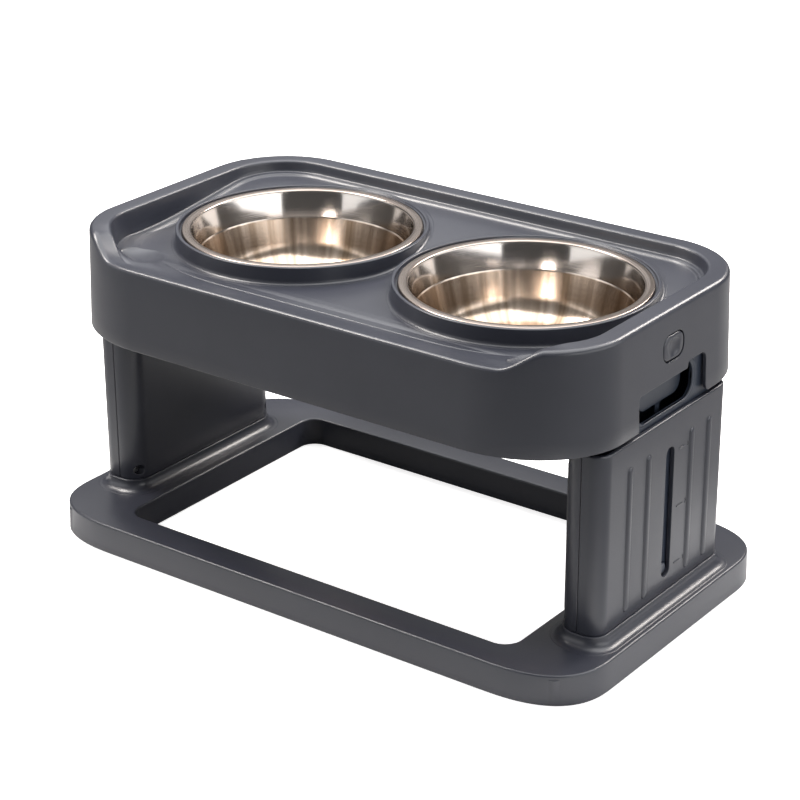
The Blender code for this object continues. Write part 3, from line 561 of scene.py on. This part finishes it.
# The hand hold under the button: its top steps up towards the back.
def notchCutter(side):
    left, right, top, raised, corner, slant, below = pick(notch, "left right top raised corner slant below")
    low = tray["bottom"] - below
    outline = [(left, low), (left, top - slant), (left + slant, top)]
    for step in range(9):
        up = float(smoothStep(step / 8))
        outline.append((notch["step"] + notch["stepWidth"] * step / 8, mix(top, raised, up)))
    outline += arcPoints(right - corner, raised - corner, corner, 8, 90, -90)
    outline += arcPoints(right + corner, low + below + corner, corner, 8, 180)
    outline.append((right + corner, low))
    return slab("notch", outline, *[side * x for x in tray["cutX"]])


def buttonOutline(grow, steps=8):
    return roundedBox(button["y"], button["z"], button["width"] / 2 + grow, button["height"] / 2 + grow,
                      button["corner"] + grow, steps)


def makeTray():
    shell = makeTrayShell()
    sides = (-1, 1)
    x, y, z = tray["dimple"]
    wells = [rod("well", (side * tray["collarX"], tray["collarY"], 0.20), 0.06, tray["wellCut"],
                 (0, 0, 1), 96) for side in sides]
    dimples = [ellipsoid("dimple", tray["dimpleSize"], (side * x, y, z), 56, 40) for side in sides]
    notches = [notchCutter(side) for side in sides]
    holes = [slab("hole", buttonOutline(button["gap"]), *[side * x for x in tray["cutX"]]) for side in sides]
    cutAway(shell, *wells, *dimples, *notches, *holes)
    low, high = tray["postZ"]
    radius = tray["postRadius"]
    profile = [(0, low), (0.0020, low), (radius, low), (radius, high), (0, high)]
    posts = [turned("post", profile, 24, (side * tray["postX"], y, 0))
             for side in sides for y in tray["postYs"]]
    return mergePieces("traySkin", [shell, makeCollar(-1), makeCollar(1), *posts])


dress(makeTray(), slate, "plastic", "lift", "tray")
print("tray made")


# Base frame: a flat ring with rounded edges and a filleted socket under each leg

base = {
    "halfX": 0.2470, "halfY": 0.1422, "corner": (0.074, 0.056), "fullness": 2.6, "steps": 26,
    "bottom": 0.0006, "top": 0.024, "wall": 0.0034, "edge": 0.0016,
    "openX": 0.1797, "openY": 0.1148, "openCorner": 0.014, "webX": 0.2133, "webHalf": 0.0296,
    "webs": ((-0.1022, 0.0030), (-0.049, 0.0110), (0.051, 0.0110), (0.1022, 0.0030)),
    "seatHalf": (0.0230, 0.0105), "seatCorner": 0.006, "seatBottom": 0.0018,
    "bossLedge": 0.0012, "bossFillet": 0.0080, "bossTop": 0.0332, "bossEdge": 0.0005,
}
pad = {"x": 0.2070, "y": 0.1217, "length": 0.040, "width": 0.016, "thick": 0.0015, "corner": 0.006,
       "edge": 0.0003, "grooves": 9, "grooveReach": 0.0155, "grooveDepth": 0.0005,
       "grooveHalf": (0.0005, 0.0003)}
leg = {
    "innerX": 0.1975, "outerX": 0.2327, "frontY": -0.085, "backY": 0.087, "bottom": 0.0335, "top": 0.1708,
    "innerCorner": 0.016, "outerCorner": 0.012, "seam": 0.2151, "seamGap": 0.00015, "seamBend": 0.0004,
    "wall": 0.0032, "floor": 0.0075, "topEdge": 0.0014, "steps": 14,
    "ribs": (-0.0492, -0.0245, 0.0345, 0.0592), "ribWidth": 0.006, "ribProud": 0.0015,
    "ribEnds": (0.0065, 0.0190), "slotY": 0.005, "slotWidth": 0.0114, "slotTop": 0.1476,
    "slotBottom": 0.0450, "slotX": (0.2275, 0.2360), "bore": 0.0021,
    "screwYs": (-0.0776, 0.0796), "screwLevels": (0.0413, 0.1603), "seatX": 0.2220, "seatYs": (-0.049, 0.051),
    "marks": 3, "markZ": (0.0510, 0.1416), "markY": 0.0208, "markHalf": (0.0040, 0.00055),
    "markProud": 0.0005, "numberY": 0.0295, "numberSize": 0.0046,
}


# Plan of a leg, grown outwards, with the larger corners inside. It starts outside at the front.
def legPlan(grow, side, steps):
    x0, x1 = leg["innerX"] - grow, leg["outerX"] + grow
    y0, y1 = leg["frontY"] - grow, leg["backY"] + grow
    outside, inside = (max(leg[key] + grow, 0.002) for key in ("outerCorner", "innerCorner"))
    points = arcPoints(x1 - outside, y0 + outside, outside, steps, -90)
    points += arcPoints(x1 - outside, y1 - outside, outside, steps, 0)
    points += arcPoints(x0 + inside, y1 - inside, inside, steps, 90)
    points += arcPoints(x0 + inside, y0 + inside, inside, steps, 180)
    return [(side * x, y) for x, y in points]


def makeBase():
    low, top, wall, edge, steps = pick(base, "bottom top wall edge steps")
    ledge, fillet, rim = pick(base, "bossLedge bossFillet bossEdge")
    roof = top - wall

    def outside(inset, z):
        corner = tuple(radius - inset for radius in base["corner"])
        return level(roundedOutline(base["halfX"] - inset, base["halfY"] - inset, corner, corner, steps,
                                    base["fullness"]), z)

    def inside(grow, z):
        return level(roundedBox(0, 0, base["openX"] + grow, base["openY"] + grow, base["openCorner"] + grow,
                                steps), z)

    rings = [outside(wall, low), outside(0.0005, low), outside(0.0, low + 0.0006)]
    rings += [outside(*spot) for spot in [(0.0002, low + 0.008), *quarter(0.0006, top, edge, -edge, 6)]]
    rings += [inside(*spot) for spot in quarter(0.0001, top, edge, -edge, 6)[::-1]]
    rings += [inside(0.0, low + 0.0006), inside(0.0005, low), inside(wall, low), inside(wall, roof)]
    rings += [outside(wall, roof)]
    parts = [skin("frame", rings, "loop")]
    # webs under the top, where the end bars carry the legs, the seats of the foot pads, and the leg sockets
    boss = [(ledge + fillet + 0.0006, top - 0.0010)]
    boss += quarter(ledge, top + 0.00003, fillet, fillet - 0.0002, 12)[::-1]
    boss += quarter(ledge, base["bossTop"], -rim, -rim, 3)
    for side in (-1, 1):
        for y, half in base["webs"]:
            plan = roundedBox(side * base["webX"], y, base["webHalf"], half, 0.001, 2)
            parts.append(column("web", plan, low + 0.0002, roof + 0.0002))
        for y in (-pad["y"], pad["y"]):
            plan = roundedBox(side * pad["x"], y, *base["seatHalf"], base["seatCorner"], 6)
            parts.append(column("seat", plan, base["seatBottom"], roof + 0.0002))
        parts.append(skin("boss", [level(legPlan(grow, side, 16), z) for grow, z in boss]))
    return mergePieces("baseFrameSkin", parts)


dress(makeBase(), slate, "plastic", "stand", "base_frame")
print("base made")


# Legs: two half shells each, ribs, lock slot, height marks and screw wells

# A long half-round rib with tapered, rounded ends.
def rib(y):
    low, high = leg["bottom"] + leg["ribEnds"][0], leg["top"] - leg["ribEnds"][1]
    half, proud, face = leg["ribWidth"] / 2, leg["ribProud"] - 0.00005, leg["outerX"]
    rows = []
    for k in range(41):
        z = mix(low, high, 0.5 - 0.5 * math.cos(math.pi * k / 40))
        end = min(z - low, high - z)
        swell = max(math.sqrt(max(1 - (1 - min(end / half, 1)) ** 2, 0.0)), 0.02)
        row = [(face + proud * swell * math.sin(t), y + half * swell * math.cos(t), z)
               for t in arc(12, 180, -180)]
        rows.append([(face - 0.0005, y - half * swell, z), *row, (face - 0.0005, y + half * swell, z)])
    return skin("rib", rows)


# Three short raised lines beside the slot, each with its plain step number, read from outside on both legs.
def heightMarks(side):
    made = []
    face, proud = leg["outerX"], leg["markProud"]
    for number in range(leg["marks"]):
        z = mix(*leg["markZ"], number / (leg["marks"] - 1))
        line = roundedBox(leg["markY"], z, *leg["markHalf"], 0.0004, 3)
        made.append(slab("mark", line, face - 0.0004, face + proud))
        curve = bpy.data.curves.new("number", "FONT")
        curve.body = str(number + 1)
        curve.size = leg["numberSize"]
        curve.extrude = proud
        curve.align_x = "CENTER"
        curve.align_y = "CENTER"
        text = addObject("number", curve)
        mesh = evaluatedMesh(text)
        mesh.transform(Matrix(((0, 0, 1, face - 0.0001), (side, 0, 0, leg["numberY"]), (0, 1, 0, z),
                               (0, 0, 0, 1))))
        if side < 0:
            mesh.flip_normals()
        bpy.data.objects.remove(text, do_unlink=True)
        made.append(addObject("number", mesh))
    return made


# One half shell: the leg's plan cut at the seam, a wall thick, closed at one side by the seam's edge.
def halfShell(outerHalf, side):
    low, high, edge, steps, bore = pick(leg, "bottom top topEdge steps bore")

    def plan(grow):
        points = legPlan(grow, 1, steps)
        count = len(points) // 2
        sign = 1 if outerHalf else -1
        half = points[:count] if outerHalf else points[count:]
        seam = leg["seam"] + sign * leg["seamGap"]
        bend = sign * (leg["seamBend"] if grow > -0.001 else 0.0)
        first, last = half[0][1], half[-1][1]
        return [(seam, first + bend), (seam + bend, first), *half, (seam + bend, last), (seam, last - bend)]

    layers = [(-0.0006, low), (-0.0002, low + 0.0002), (0.0, low + 0.0006)]
    layers += [(0.0, mix(low, high, k / 8)) for k in range(1, 8)]
    layers += quarter(0.0, high, -edge, -edge, 6)
    shell = skin("shell", [level(plan(grow), z) for grow, z in layers])
    floor = low + leg["floor"] if outerHalf else low - 0.001
    cavity = column("cavity", legPlan(-leg["wall"], 1, steps), floor, high + 0.002)
    spots = [(y, z) for y in leg["screwYs"] for z in leg["screwLevels"]]
    start = leg["innerX"] - 0.001
    cutAway(cavity, *[rod("post", (start, y, z), 0.0374, 0.0065) for y, z in spots])
    cutAway(shell, cavity)
    if not outerHalf:
        for y, z in spots:
            well = rod("well", (start, y, z), 0.0105, 0.0040)
            cutAway(shell, well, rod("hole", (0.2060, y, z), 0.0110, bore))
        return shell
    radius = leg["slotWidth"] / 2
    slot = arcPoints(leg["slotY"], leg["slotTop"] - radius, radius, 16, 0, 180)
    slot += arcPoints(leg["slotY"], leg["slotBottom"] + radius, radius, 16, 180, 180)
    up = (0, 0, 1)
    seats = [rod("pilot", (leg["seatX"], y, low - 0.001), 0.0095, bore, up) for y in leg["seatYs"]]
    pilots = [rod("pilot", (0.2141, y, z), 0.0121, bore) for y, z in spots]
    cutAway(shell, slab("slot", slot, *leg["slotX"]), *pilots, *seats)
    return mergePieces("shell", [shell, *[rib(y) for y in leg["ribs"]], *heightMarks(side)])


for sideName, side in bodySides.items():
    for half in ("outer", "inner"):
        piece = halfShell(half == "outer", side)
        if side < 0:
            mirrorX(piece)
        piece.name = f"leg{sideName.capitalize()}{half.capitalize()}Skin"
        dress(piece, slate, "plastic", "stand", f"leg_{sideName}_{half}_shell")
print("legs made")


# Inner legs: flat tubes that telescope inside the legs, with a window and a raised lip round it

inner = {"x": (0.2015, 0.2287), "y": (-0.068, 0.070), "z": (0.0425, 0.2248), "wall": 0.0024, "corner": 0.008,
         "window": (-0.0371, 0.0371), "windowBottom": 0.1757, "windowCorner": 0.0115, "lip": 0.008,
         "lipProud": 0.0007, "lipDrop": 0.0205, "pinY": 0.005, "pinZ": 0.0510, "pinHole": 0.0047}


def makeInnerLeg():
    (x0, x1), (y0, y1), (z0, z1) = inner["x"], inner["y"], inner["z"]
    left, right = inner["window"]
    wall, low, corner = inner["wall"], inner["windowBottom"], inner["windowCorner"]
    start, through = x1 - wall - 0.002, wall + 0.004
    tube = column("tube", boxPlan(x0, x1, y0, y1, inner["corner"]), z0, z1)
    hollow = boxPlan(x0 + wall, x1 - wall, y0 + wall, y1 - wall, inner["corner"] - wall)
    roof = boxPlan(x0 + wall + 0.0006, x1 + 0.004, left, right, 0.0006, 2)
    cutAway(tube, column("hollow", hollow, z0 - 0.001, z1 - wall),
            slab("window", boxPlan(left, right, low, z1 + 0.02, corner), start, x1 + 0.003),
            column("roof", roof, z1 - wall - 0.001, z1 + 0.001),
            rod("pinHole", (start, inner["pinY"], inner["pinZ"]), through, inner["pinHole"]),
            *[rod("hole", (tray["postX"], y, z1 - wall - 0.002), through, leg["bore"], (0, 0, 1))
              for y in tray["postYs"]])
    # the lip: a thin frame with a raised bead along the window's edge
    top, reach, proud = z1 - inner["lipDrop"], inner["lip"], inner["lipProud"]
    rings = []
    for grow, up in ((reach, -wall / 2), (reach, 0.0001), (reach - 0.0003, 0.0003), (0.0034, 0.0003),
                     (0.0031, 0.0001), (0.0024, 0.0001), (0.0021, proud - 0.0002), (0.0017, proud),
                     (0.0006, proud), (0.0, proud - 0.0004), (0.0, -wall / 2)):
        plan = boxPlan(left - grow, right + grow, low - grow * 0.48, top, corner + grow * 0.4)
        rings.append([(x1 + up, y, z) for y, z in plan])
    return mergePieces("innerLeg", [tube, skin("lip", rings, "loop")])


lockBar = {"middle": 0.004, "half": 0.0284, "low": 0.1797, "top": 0.2248, "corner": 0.009, "eye": 0.007,
           "x": (0.2196, 0.2220), "neckLow": 0.1670, "neckHalf": 0.0030, "neckOut": 0.0080, "neckX": 0.2202,
           "pinHole": 0.0023}


# A plate behind the hand hold with a tongue down to an eye that holds the pin.
def makeLockBar():
    middle, half, low, top, corner, eye = pick(lockBar, "middle half low top corner eye")
    neckLow, neckHalf, out = pick(lockBar, "neckLow neckHalf neckOut")
    y, z = inner["pinY"], inner["pinZ"]
    back, front = lockBar["x"]
    points = [(middle + half, top), (middle - half, top)]
    points += arcPoints(middle - half + corner, low + corner, corner, 8, 180)
    points += [(y - eye, low), *arcPoints(y, z, eye, 24, 180, 180), (y + eye, low)]
    points += arcPoints(middle + half - corner, low + corner, corner, 8, 270)
    bar = slab("lockBar", points, back, front)
    for side in (-1, 1):
        sides = sorted(y + side * reach for reach in (neckHalf, out))
        cutAway(bar, slab("neck", boxPlan(*sides, neckLow, low, 0.0015, 4), back - 0.0006, front + 0.0010))
    thin = boxPlan(y - out, y + out, neckLow, low, 0.001, 2)
    cutAway(bar, slab("thin", thin, lockBar["neckX"], front + 0.0010))
    return cutAway(bar, rod("hole", (back - 0.0010, y, z), 0.0044, lockBar["pinHole"]))


lockPin = {"x": 0.2220, "head": 0.0036, "neck": 0.0020, "tip": 0.0041,
           "steps": (-0.0045, -0.0027, 0.0003, 0.0085)}


def makeLockPin():
    back, seat, shoulder, end = lockPin["steps"]
    head, neck, tip = pick(lockPin, "head neck tip")
    profile = roundCorners([(0, back, 0), (head, back, 0.0006), (head, seat, 0), (neck, seat, 0),
                            (neck, shoulder, 0), (tip, shoulder, 0.0003), (tip, end, 0.0008), (0, end, 0)])
    return turned("lockPin", profile, 48, (lockPin["x"], inner["pinY"], inner["pinZ"]), (1, 0, 0))


def makeButton():
    face, edge, flange, bulge = pick(button, "face edge flange dishBulge")
    back, front = button["flangeX"]
    layers = [(back, flange), (front, flange), (front, 0.0)]
    layers += quarter(face, 0.0, -edge, -edge, 6)[::-1]
    cap = skin("cap", [[(x, y, z) for y, z in buttonOutline(grow, 12)] for x, grow in layers])
    dish = (bulge, *pick(button, "dishWidth dishHeight"))
    center = (face + bulge - button["dishDepth"], *pick(button, "y z"))
    cutAway(cap, ellipsoid("dish", dish, center, 48, 32))
    stem = slab("stem", boxPlan(*button["stem"], 0.001, 3), *button["stemX"])
    return mergePieces("button", [cap, stem])


spring = {"x": (0.2048, 0.2187), "y": 0.004, "z": 0.2038, "radius": 0.005, "wire": 0.0006, "turns": 5}


def makeSpring():
    rows = []
    count = spring["turns"] * 40
    for k in range(count + 1):
        x = mix(*spring["x"], k / count)
        a = math.tau * spring["turns"] * k / count
        row = []
        for n in range(12):
            b = math.tau * n / 12
            r = spring["radius"] + spring["wire"] * math.cos(b)
            row.append((x + spring["wire"] * math.sin(b), spring["y"] + r * math.cos(a),
                        spring["z"] + r * math.sin(a)))
        rows.append(row)
    return skin("spring", rows)


for sideName, side in bodySides.items():
    makers = (
        (makeInnerLeg, innerSlate, "inner_plastic", "lift", "inner_leg"),
        (makeLockBar, innerSlate, "inner_plastic", f"lock_{sideName}", "lock_bar"),
        (makeLockPin, innerSlate, "inner_plastic", f"lock_{sideName}", "lock_pin"),
        (makeButton, slate, "plastic", f"press_{sideName}", "button"),
        (makeSpring, zinc, "fastener_steel", "lift", "spring"),
    )
    for make, material, slot, body, node in makers:
        piece = make()
        if side < 0:
            mirrorX(piece)
        piece.name = f"{node}_{sideName}_skin"
        dress(piece, material, slot, body, f"{node}_{sideName}")
        if make is makeSpring:
            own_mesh(piece)
print("inner legs, locks and buttons made")


# Bowls: a deep wall, a small ledge, a bright flared wall and a flat rim

bowl = {"radius": 0.0931, "top": 0.2410, "depth": 0.058, "sheet": 0.0011, "stepDrop": 0.0213, "segments": 224}


def makeBowl(side):
    r, top, d, sheet = pick(bowl, "radius top depth sheet")
    inside = roundCorners([
        (0.0, -d, 0), (r - 0.0225, -d, 0.026), (r - 0.0127, -0.0222, 0.0004),
        (r - 0.0122, -0.0210, 0.0006), (r - 0.0076, -0.0004, 0.0022), (r - 0.0040, 0.0, 0.0010),
        (r - 0.0008, -0.0003, 0.0012), (r - 0.0001, -0.0024, 0)], 12)
    outside = roundCorners([
        (r - 0.0012, -0.0024, 0), (r - 0.0052, -0.0012, 0.002), (r - 0.0076 + sheet, -0.0018, 0.002),
        (r - 0.0122 + sheet, -0.0218, 0.001), (r - 0.0137 + sheet, -0.0230, 0.001),
        (r - 0.0225 + sheet, -d - sheet, 0.026), (0.0, -d - sheet, 0)], 12)
    profile = [(a, top + z) for a, z in inside + outside]
    return turned("bowl", profile, bowl["segments"], (side * tray["collarX"], tray["collarY"], 0))


for sideName, side in bodySides.items():
    steel = drawnSteel(f"drawnSteel{sideName.capitalize()}", (side * tray["collarX"], tray["collarY"]),
                       bowl["radius"], bowl["top"], bowl["stepDrop"])
    dress(makeBowl(side), steel, "steel", f"food_{sideName}", f"bowl_{sideName}")
print("bowls made")


# Screws: a node tree makes every screw of a length from the place handed to it

screw = {"head": 0.0036, "headHeight": 0.0024, "shank": 0.0018, "pitch": 0.0009, "cross": 0.0030,
         "gap": 0.0003}
screwKinds = {
    "leg": {"length": 0.016, "x": 0.2070, "ys": leg["screwYs"], "body": "stand",
            "levels": {"_low": leg["screwLevels"][0], "_high": leg["screwLevels"][1]}},
    "base": {"length": 0.017, "x": leg["seatX"], "ys": leg["seatYs"], "body": "stand",
             "levels": {"": 0.0220}},
    "tray": {"length": 0.014, "x": tray["postX"], "ys": tray["postYs"], "body": "lift",
             "levels": {"": 0.2224}},
}


# A pan head with a cross recess on a threaded shank, pointing along +Z from the underside of its head.
def screwMesh(length):
    head, tall, shank, pitch, gap = pick(screw, "head headHeight shank pitch gap")
    plan = roundedBox(0, 0, screw["cross"] / 2, 0.00035, 0.0002, 2)
    top = -tall - gap
    cap = turned("cap", roundCorners([(0, top, 0), (head * 0.80, top, 0.0006), (head, top + 0.0012, 0.0007),
                                      (head, -gap, 0), (0, -gap, 0)]), 40)
    for turn in (0, 90):
        c, s = math.cos(math.radians(turn)), math.sin(math.radians(turn))
        arm = [(x * c - y * s, x * s + y * c) for x, y in plan]
        low = [(x * 0.45, y * 0.6) for x, y in arm]
        cutAway(cap, skin("arm", [level(arm, top - 0.0005), level(low, -gap - 0.0009)]))
    rows = []
    count = 20
    steps = int(length / pitch * 4)
    for k in range(steps + 1):
        z = mix(-gap - 0.0001, length, k / steps)
        taper = min(1.0, 0.55 + (length - z) / 0.0012 * 0.45)
        row = []
        for a in range(count):
            phase = (z / pitch - a / count) % 1.0
            r = shank * (1 - 0.16 * abs(2 * phase - 1)) * taper
            row.append((r * math.cos(math.tau * a / count), r * math.sin(math.tau * a / count), z))
        rows.append(row)
    merged = mergePieces("screw", [cap, skin("shank", rows)])
    mesh = merged.data
    bpy.data.objects.remove(merged, do_unlink=True)
    return mesh


# Node tree: puts the screw mesh on every point that it is given, turned by the spin, and gives it its metal.
def screwTree(source, material):
    tree = bpy.data.node_groups.new("placeScrews", "GeometryNodeTree")
    tree.interface.new_socket("Geometry", in_out="INPUT", socket_type="NodeSocketGeometry")
    spin = tree.interface.new_socket("Spin", in_out="INPUT", socket_type="NodeSocketVector")
    tree.interface.new_socket("Geometry", in_out="OUTPUT", socket_type="NodeSocketGeometry")
    enter = addNode(tree, "NodeGroupInput").outputs
    info = addNode(tree, "GeometryNodeObjectInfo", {"Object": source}).outputs["Geometry"]
    links = {"Points": enter["Geometry"], "Instance": info, "Rotation": enter["Spin"]}
    placed = addNode(tree, "GeometryNodeInstanceOnPoints", links).outputs["Instances"]
    real = addNode(tree, "GeometryNodeRealizeInstances", {"Geometry": placed}).outputs["Geometry"]
    paint = addNode(tree, "GeometryNodeSetMaterial", {"Geometry": real, "Material": material})
    addNode(tree, "NodeGroupOutput", {"Geometry": paint.outputs["Geometry"]})
    return tree, spin.identifier


def placeScrew(name, origin, spin, tree, socket):
    mesh = bpy.data.meshes.new(name)
    mesh.from_pydata([origin], [], [])
    piece = addObject(name, mesh)
    modifier = piece.modifiers.new("screws", "NODES")
    modifier.node_group = tree
    modifier[socket] = spin
    made = evaluatedMesh(piece)
    piece.modifiers.clear()
    piece.data = made
    return piece


for kind, values in screwKinds.items():
    source = addObject("screwSource", screwMesh(values["length"]))
    tree, socket = screwTree(source, zinc)
    number = 0
    for sideName, side in bodySides.items():
        for end, y in zip(("front", "back"), values["ys"]):
            for height, z in values["levels"].items():
                spin = (0.0, side * math.pi / 2, 0.0) if kind == "leg" else (0.0, 0.0, 0.4 + number)
                name = f"screw{kind.capitalize()}{number}"
                piece = placeScrew(name, (side * values["x"], y, z), spin, tree, socket)
                dress(piece, zinc, "fastener_steel", values["body"], f"screw_{kind}_{sideName}_{end}{height}")
                number += 1
    bpy.data.objects.remove(source, do_unlink=True)
print("screws made")


# Foot pads with a ribbed tread

def makePad(signX, signY):
    x, y, edge = signX * pad["x"], signY * pad["y"], pad["edge"]

    def plan(inset):
        return roundedBox(x, y, pad["length"] / 2 - inset, pad["width"] / 2 - inset, pad["corner"] - inset, 8)

    block = skin("pad", [level(plan(edge), 0.0), level(plan(0.0), edge), level(plan(0.0), pad["thick"])])
    wide, narrow = pad["grooveHalf"]
    grooves = []
    for k in range(pad["grooves"]):
        at = x + mix(-pad["grooveReach"], pad["grooveReach"], k / (pad["grooves"] - 1))
        corners = ((at - wide, -0.001), (at + wide, -0.001), (at + narrow, pad["grooveDepth"]),
                   (at - narrow, pad["grooveDepth"]))
        grooves.append(skin("groove", [[(u, v, z) for u, z in corners] for v in (y - 0.01, y + 0.01)]))
    return cutAway(block, *grooves)


for sideName, signX in bodySides.items():
    for endName, signY in (("front", -1), ("back", 1)):
        piece = makePad(signX, signY)
        piece.name = f"padSkin{sideName.capitalize()}{endName.capitalize()}"
        dress(piece, rubber, "rubber", "stand", f"foot_pad_{endName}_{sideName}")
print("pads made")


# Floor, light and camera. near and far paint shade and light into the floor's colour for other rays, over
# distances in base half sizes.
# A softbox has its turn round the object, its height angle, its distance, its size, its power and its colour.

stage = {
    "floorHalf": 6.0, "floorGlow": 0.80,
    # near and far: painted shade and light in the floor's colour, seen by other rays
    "near": {"From Min": 0.75, "From Max": 1.05, "To Min": 0.20, "To Max": 0.90},
    "far": {"From Min": 1.15, "From Max": 1.9, "To Min": 1.0, "To Max": 0.32},
    "sky": {"To Min": 0.015, "To Max": 0.50},
    "aim": (0, 0, 0.15), "topPlace": (0.0, 0.3, 1.6), "topSize": (2.4, 1.8),
    "topPower": 44,
    "lens": 105.52, "sensor": 36, "turn": 36.565, "rise": 23.509, "roll": -0.221,
    "camera": (0.97136, -1.30978, 0.83500),
}
softboxes = {
    "backBox": (136, 26, 2.2, (1.4, 0.6), 1.6),
    "rightBox": (6, 15, 1.7, (2.4, 0.8), 13),
    "leftBox": (230, 15, 1.7, (2.1, 0.8), 6.5),
    "keyLeft": (198, 53, 1.5, (0.5, 0.5), 19, "#fff8f2"),
    "keyRight": (74, 38, 1.5, (0.46, 0.46), 15, "#fff8f2"),
}


# Matt paper: camera rays see it near white; other rays see painted shade and light that set what it throws
# back on
# the object: a painted shadow under the tray, most light painted close round the base, and less further out.
def makeFloor():
    data = bmesh.new()
    half = stage["floorHalf"]
    corners = ((-half, -half), (half, -half), (half, half), (-half, half))
    data.faces.new([data.verts.new(point) for point in level(corners, 0.0)])
    floor = newObject("floor", data)
    material, tree, shader, place = newMaterial("paperFloor")
    fibre = addNode(tree, "ShaderNodeTexNoise", {"Vector": place, "Scale": 60.0, "Detail": 3.0})
    tint = addNode(tree, "ShaderNodeMix",
                   {"Factor": fibre, "A": hexColor("#f4f4f4"), "B": hexColor("#f7f7f7")}, data_type="RGBA")
    toCamera = addNode(tree, "ShaderNodeLightPath").outputs["Is Camera Ray"]
    scaled = addNode(tree, "ShaderNodeVectorMath", {0: place, 1: (1 / base["halfX"], 1 / base["halfY"], 0)},
                     operation="MULTIPLY")
    scaled = addNode(tree, "ShaderNodeVectorMath", {0: scaled}, operation="ABSOLUTE")
    parts = addNode(tree, "ShaderNodeSeparateXYZ", {"Vector": scaled}).outputs
    reach = addNode(tree, "ShaderNodeMath", {0: parts["X"], 1: parts["Y"]}, operation="MAXIMUM")
    # painted shade: the floor's colour for other rays is darkest under the tray, lightest close round the
    # base, greyer far off
    near = addNode(tree, "ShaderNodeMapRange", {"Value": reach, **stage["near"]})
    far = addNode(tree, "ShaderNodeMapRange", {"Value": reach, **stage["far"]})
    paintedFloorShade = addNode(tree, "ShaderNodeMath", {0: near, 1: far}, operation="MULTIPLY")
    back = addNode(tree, "ShaderNodeCombineColor", {"Red": paintedFloorShade, "Green": paintedFloorShade, "Blue": paintedFloorShade})
    color = addNode(tree, "ShaderNodeMix", {"Factor": toCamera, "A": back, "B": tint}, data_type="RGBA")
    glow = addNode(tree, "ShaderNodeMath", {0: toCamera, 1: stage["floorGlow"]}, operation="MULTIPLY")
    setInputs(tree, shader, {"Base Color": color, "Roughness": 0.9, "Specular IOR Level": 0.1,
                             "Emission Color": (1, 1, 1, 1), "Emission Strength": glow})
    floor.data.materials.append(material)


def addArea(name, place, size, power, color="#ffffff"):
    data = bpy.data.lights.new(name, "AREA")
    data.shape = "RECTANGLE"
    data.size, data.size_y = size
    data.energy = power
    data.color = hexColor(color)[:3]
    lamp = addObject(name, data)
    lamp.location = place
    lamp.rotation_euler = (Vector(stage["aim"]) - Vector(place)).to_track_quat("-Z", "Y").to_euler()


def makeWorld():
    world = bpy.data.worlds.new("studio")
    scene.world = world
    world.use_nodes = True
    tree = world.node_tree
    tree.nodes.clear()
    direction = addNode(tree, "ShaderNodeTexCoord").outputs["Generated"]
    height = addNode(tree, "ShaderNodeSeparateXYZ", {"Vector": direction}).outputs["Z"]
    strength = addNode(tree, "ShaderNodeMapRange", {"Value": height, **stage["sky"]})
    links = {0: addNode(tree, "ShaderNodeLightPath").outputs["Is Camera Ray"]}
    for number, value in ((1, strength), (2, 1.0)):
        links[number] = addNode(tree, "ShaderNodeBackground", {"Color": (1, 1, 1, 1), "Strength": value})
    both = addNode(tree, "ShaderNodeMixShader", links)
    addNode(tree, "ShaderNodeOutputWorld", {"Surface": both})


def addBox(name, turn, rise, distance, size, power, color="#ffffff"):
    turn, rise = math.radians(turn), math.radians(rise)
    flat = distance * math.cos(rise)
    place = (flat * math.cos(turn), flat * math.sin(turn), stage["aim"][2] + distance * math.sin(rise))
    addArea(name, place, size, power, color)


def placeCamera():
    data = bpy.data.cameras.new("camera")
    data.lens = stage["lens"]
    data.sensor_width = stage["sensor"]
    camera = addObject("camera", data)
    turn, rise, roll = (math.radians(value) for value in pick(stage, "turn rise roll"))
    aim = Vector((-math.sin(turn) * math.cos(rise), math.cos(turn) * math.cos(rise), -math.sin(rise)))
    facing = aim.to_track_quat("-Z", "Y").to_matrix().to_4x4()
    camera.matrix_world = Matrix.Translation(stage["camera"]) @ facing @ Matrix.Rotation(roll, 4, "Z")
    scene.camera = camera


makeFloor()
makeWorld()
addArea("topBox", stage["topPlace"], stage["topSize"], stage["topPower"])
for name, values in softboxes.items():
    addBox(name, *values)
placeCamera()
scene.view_settings.view_transform = "Standard"
print("stage set")
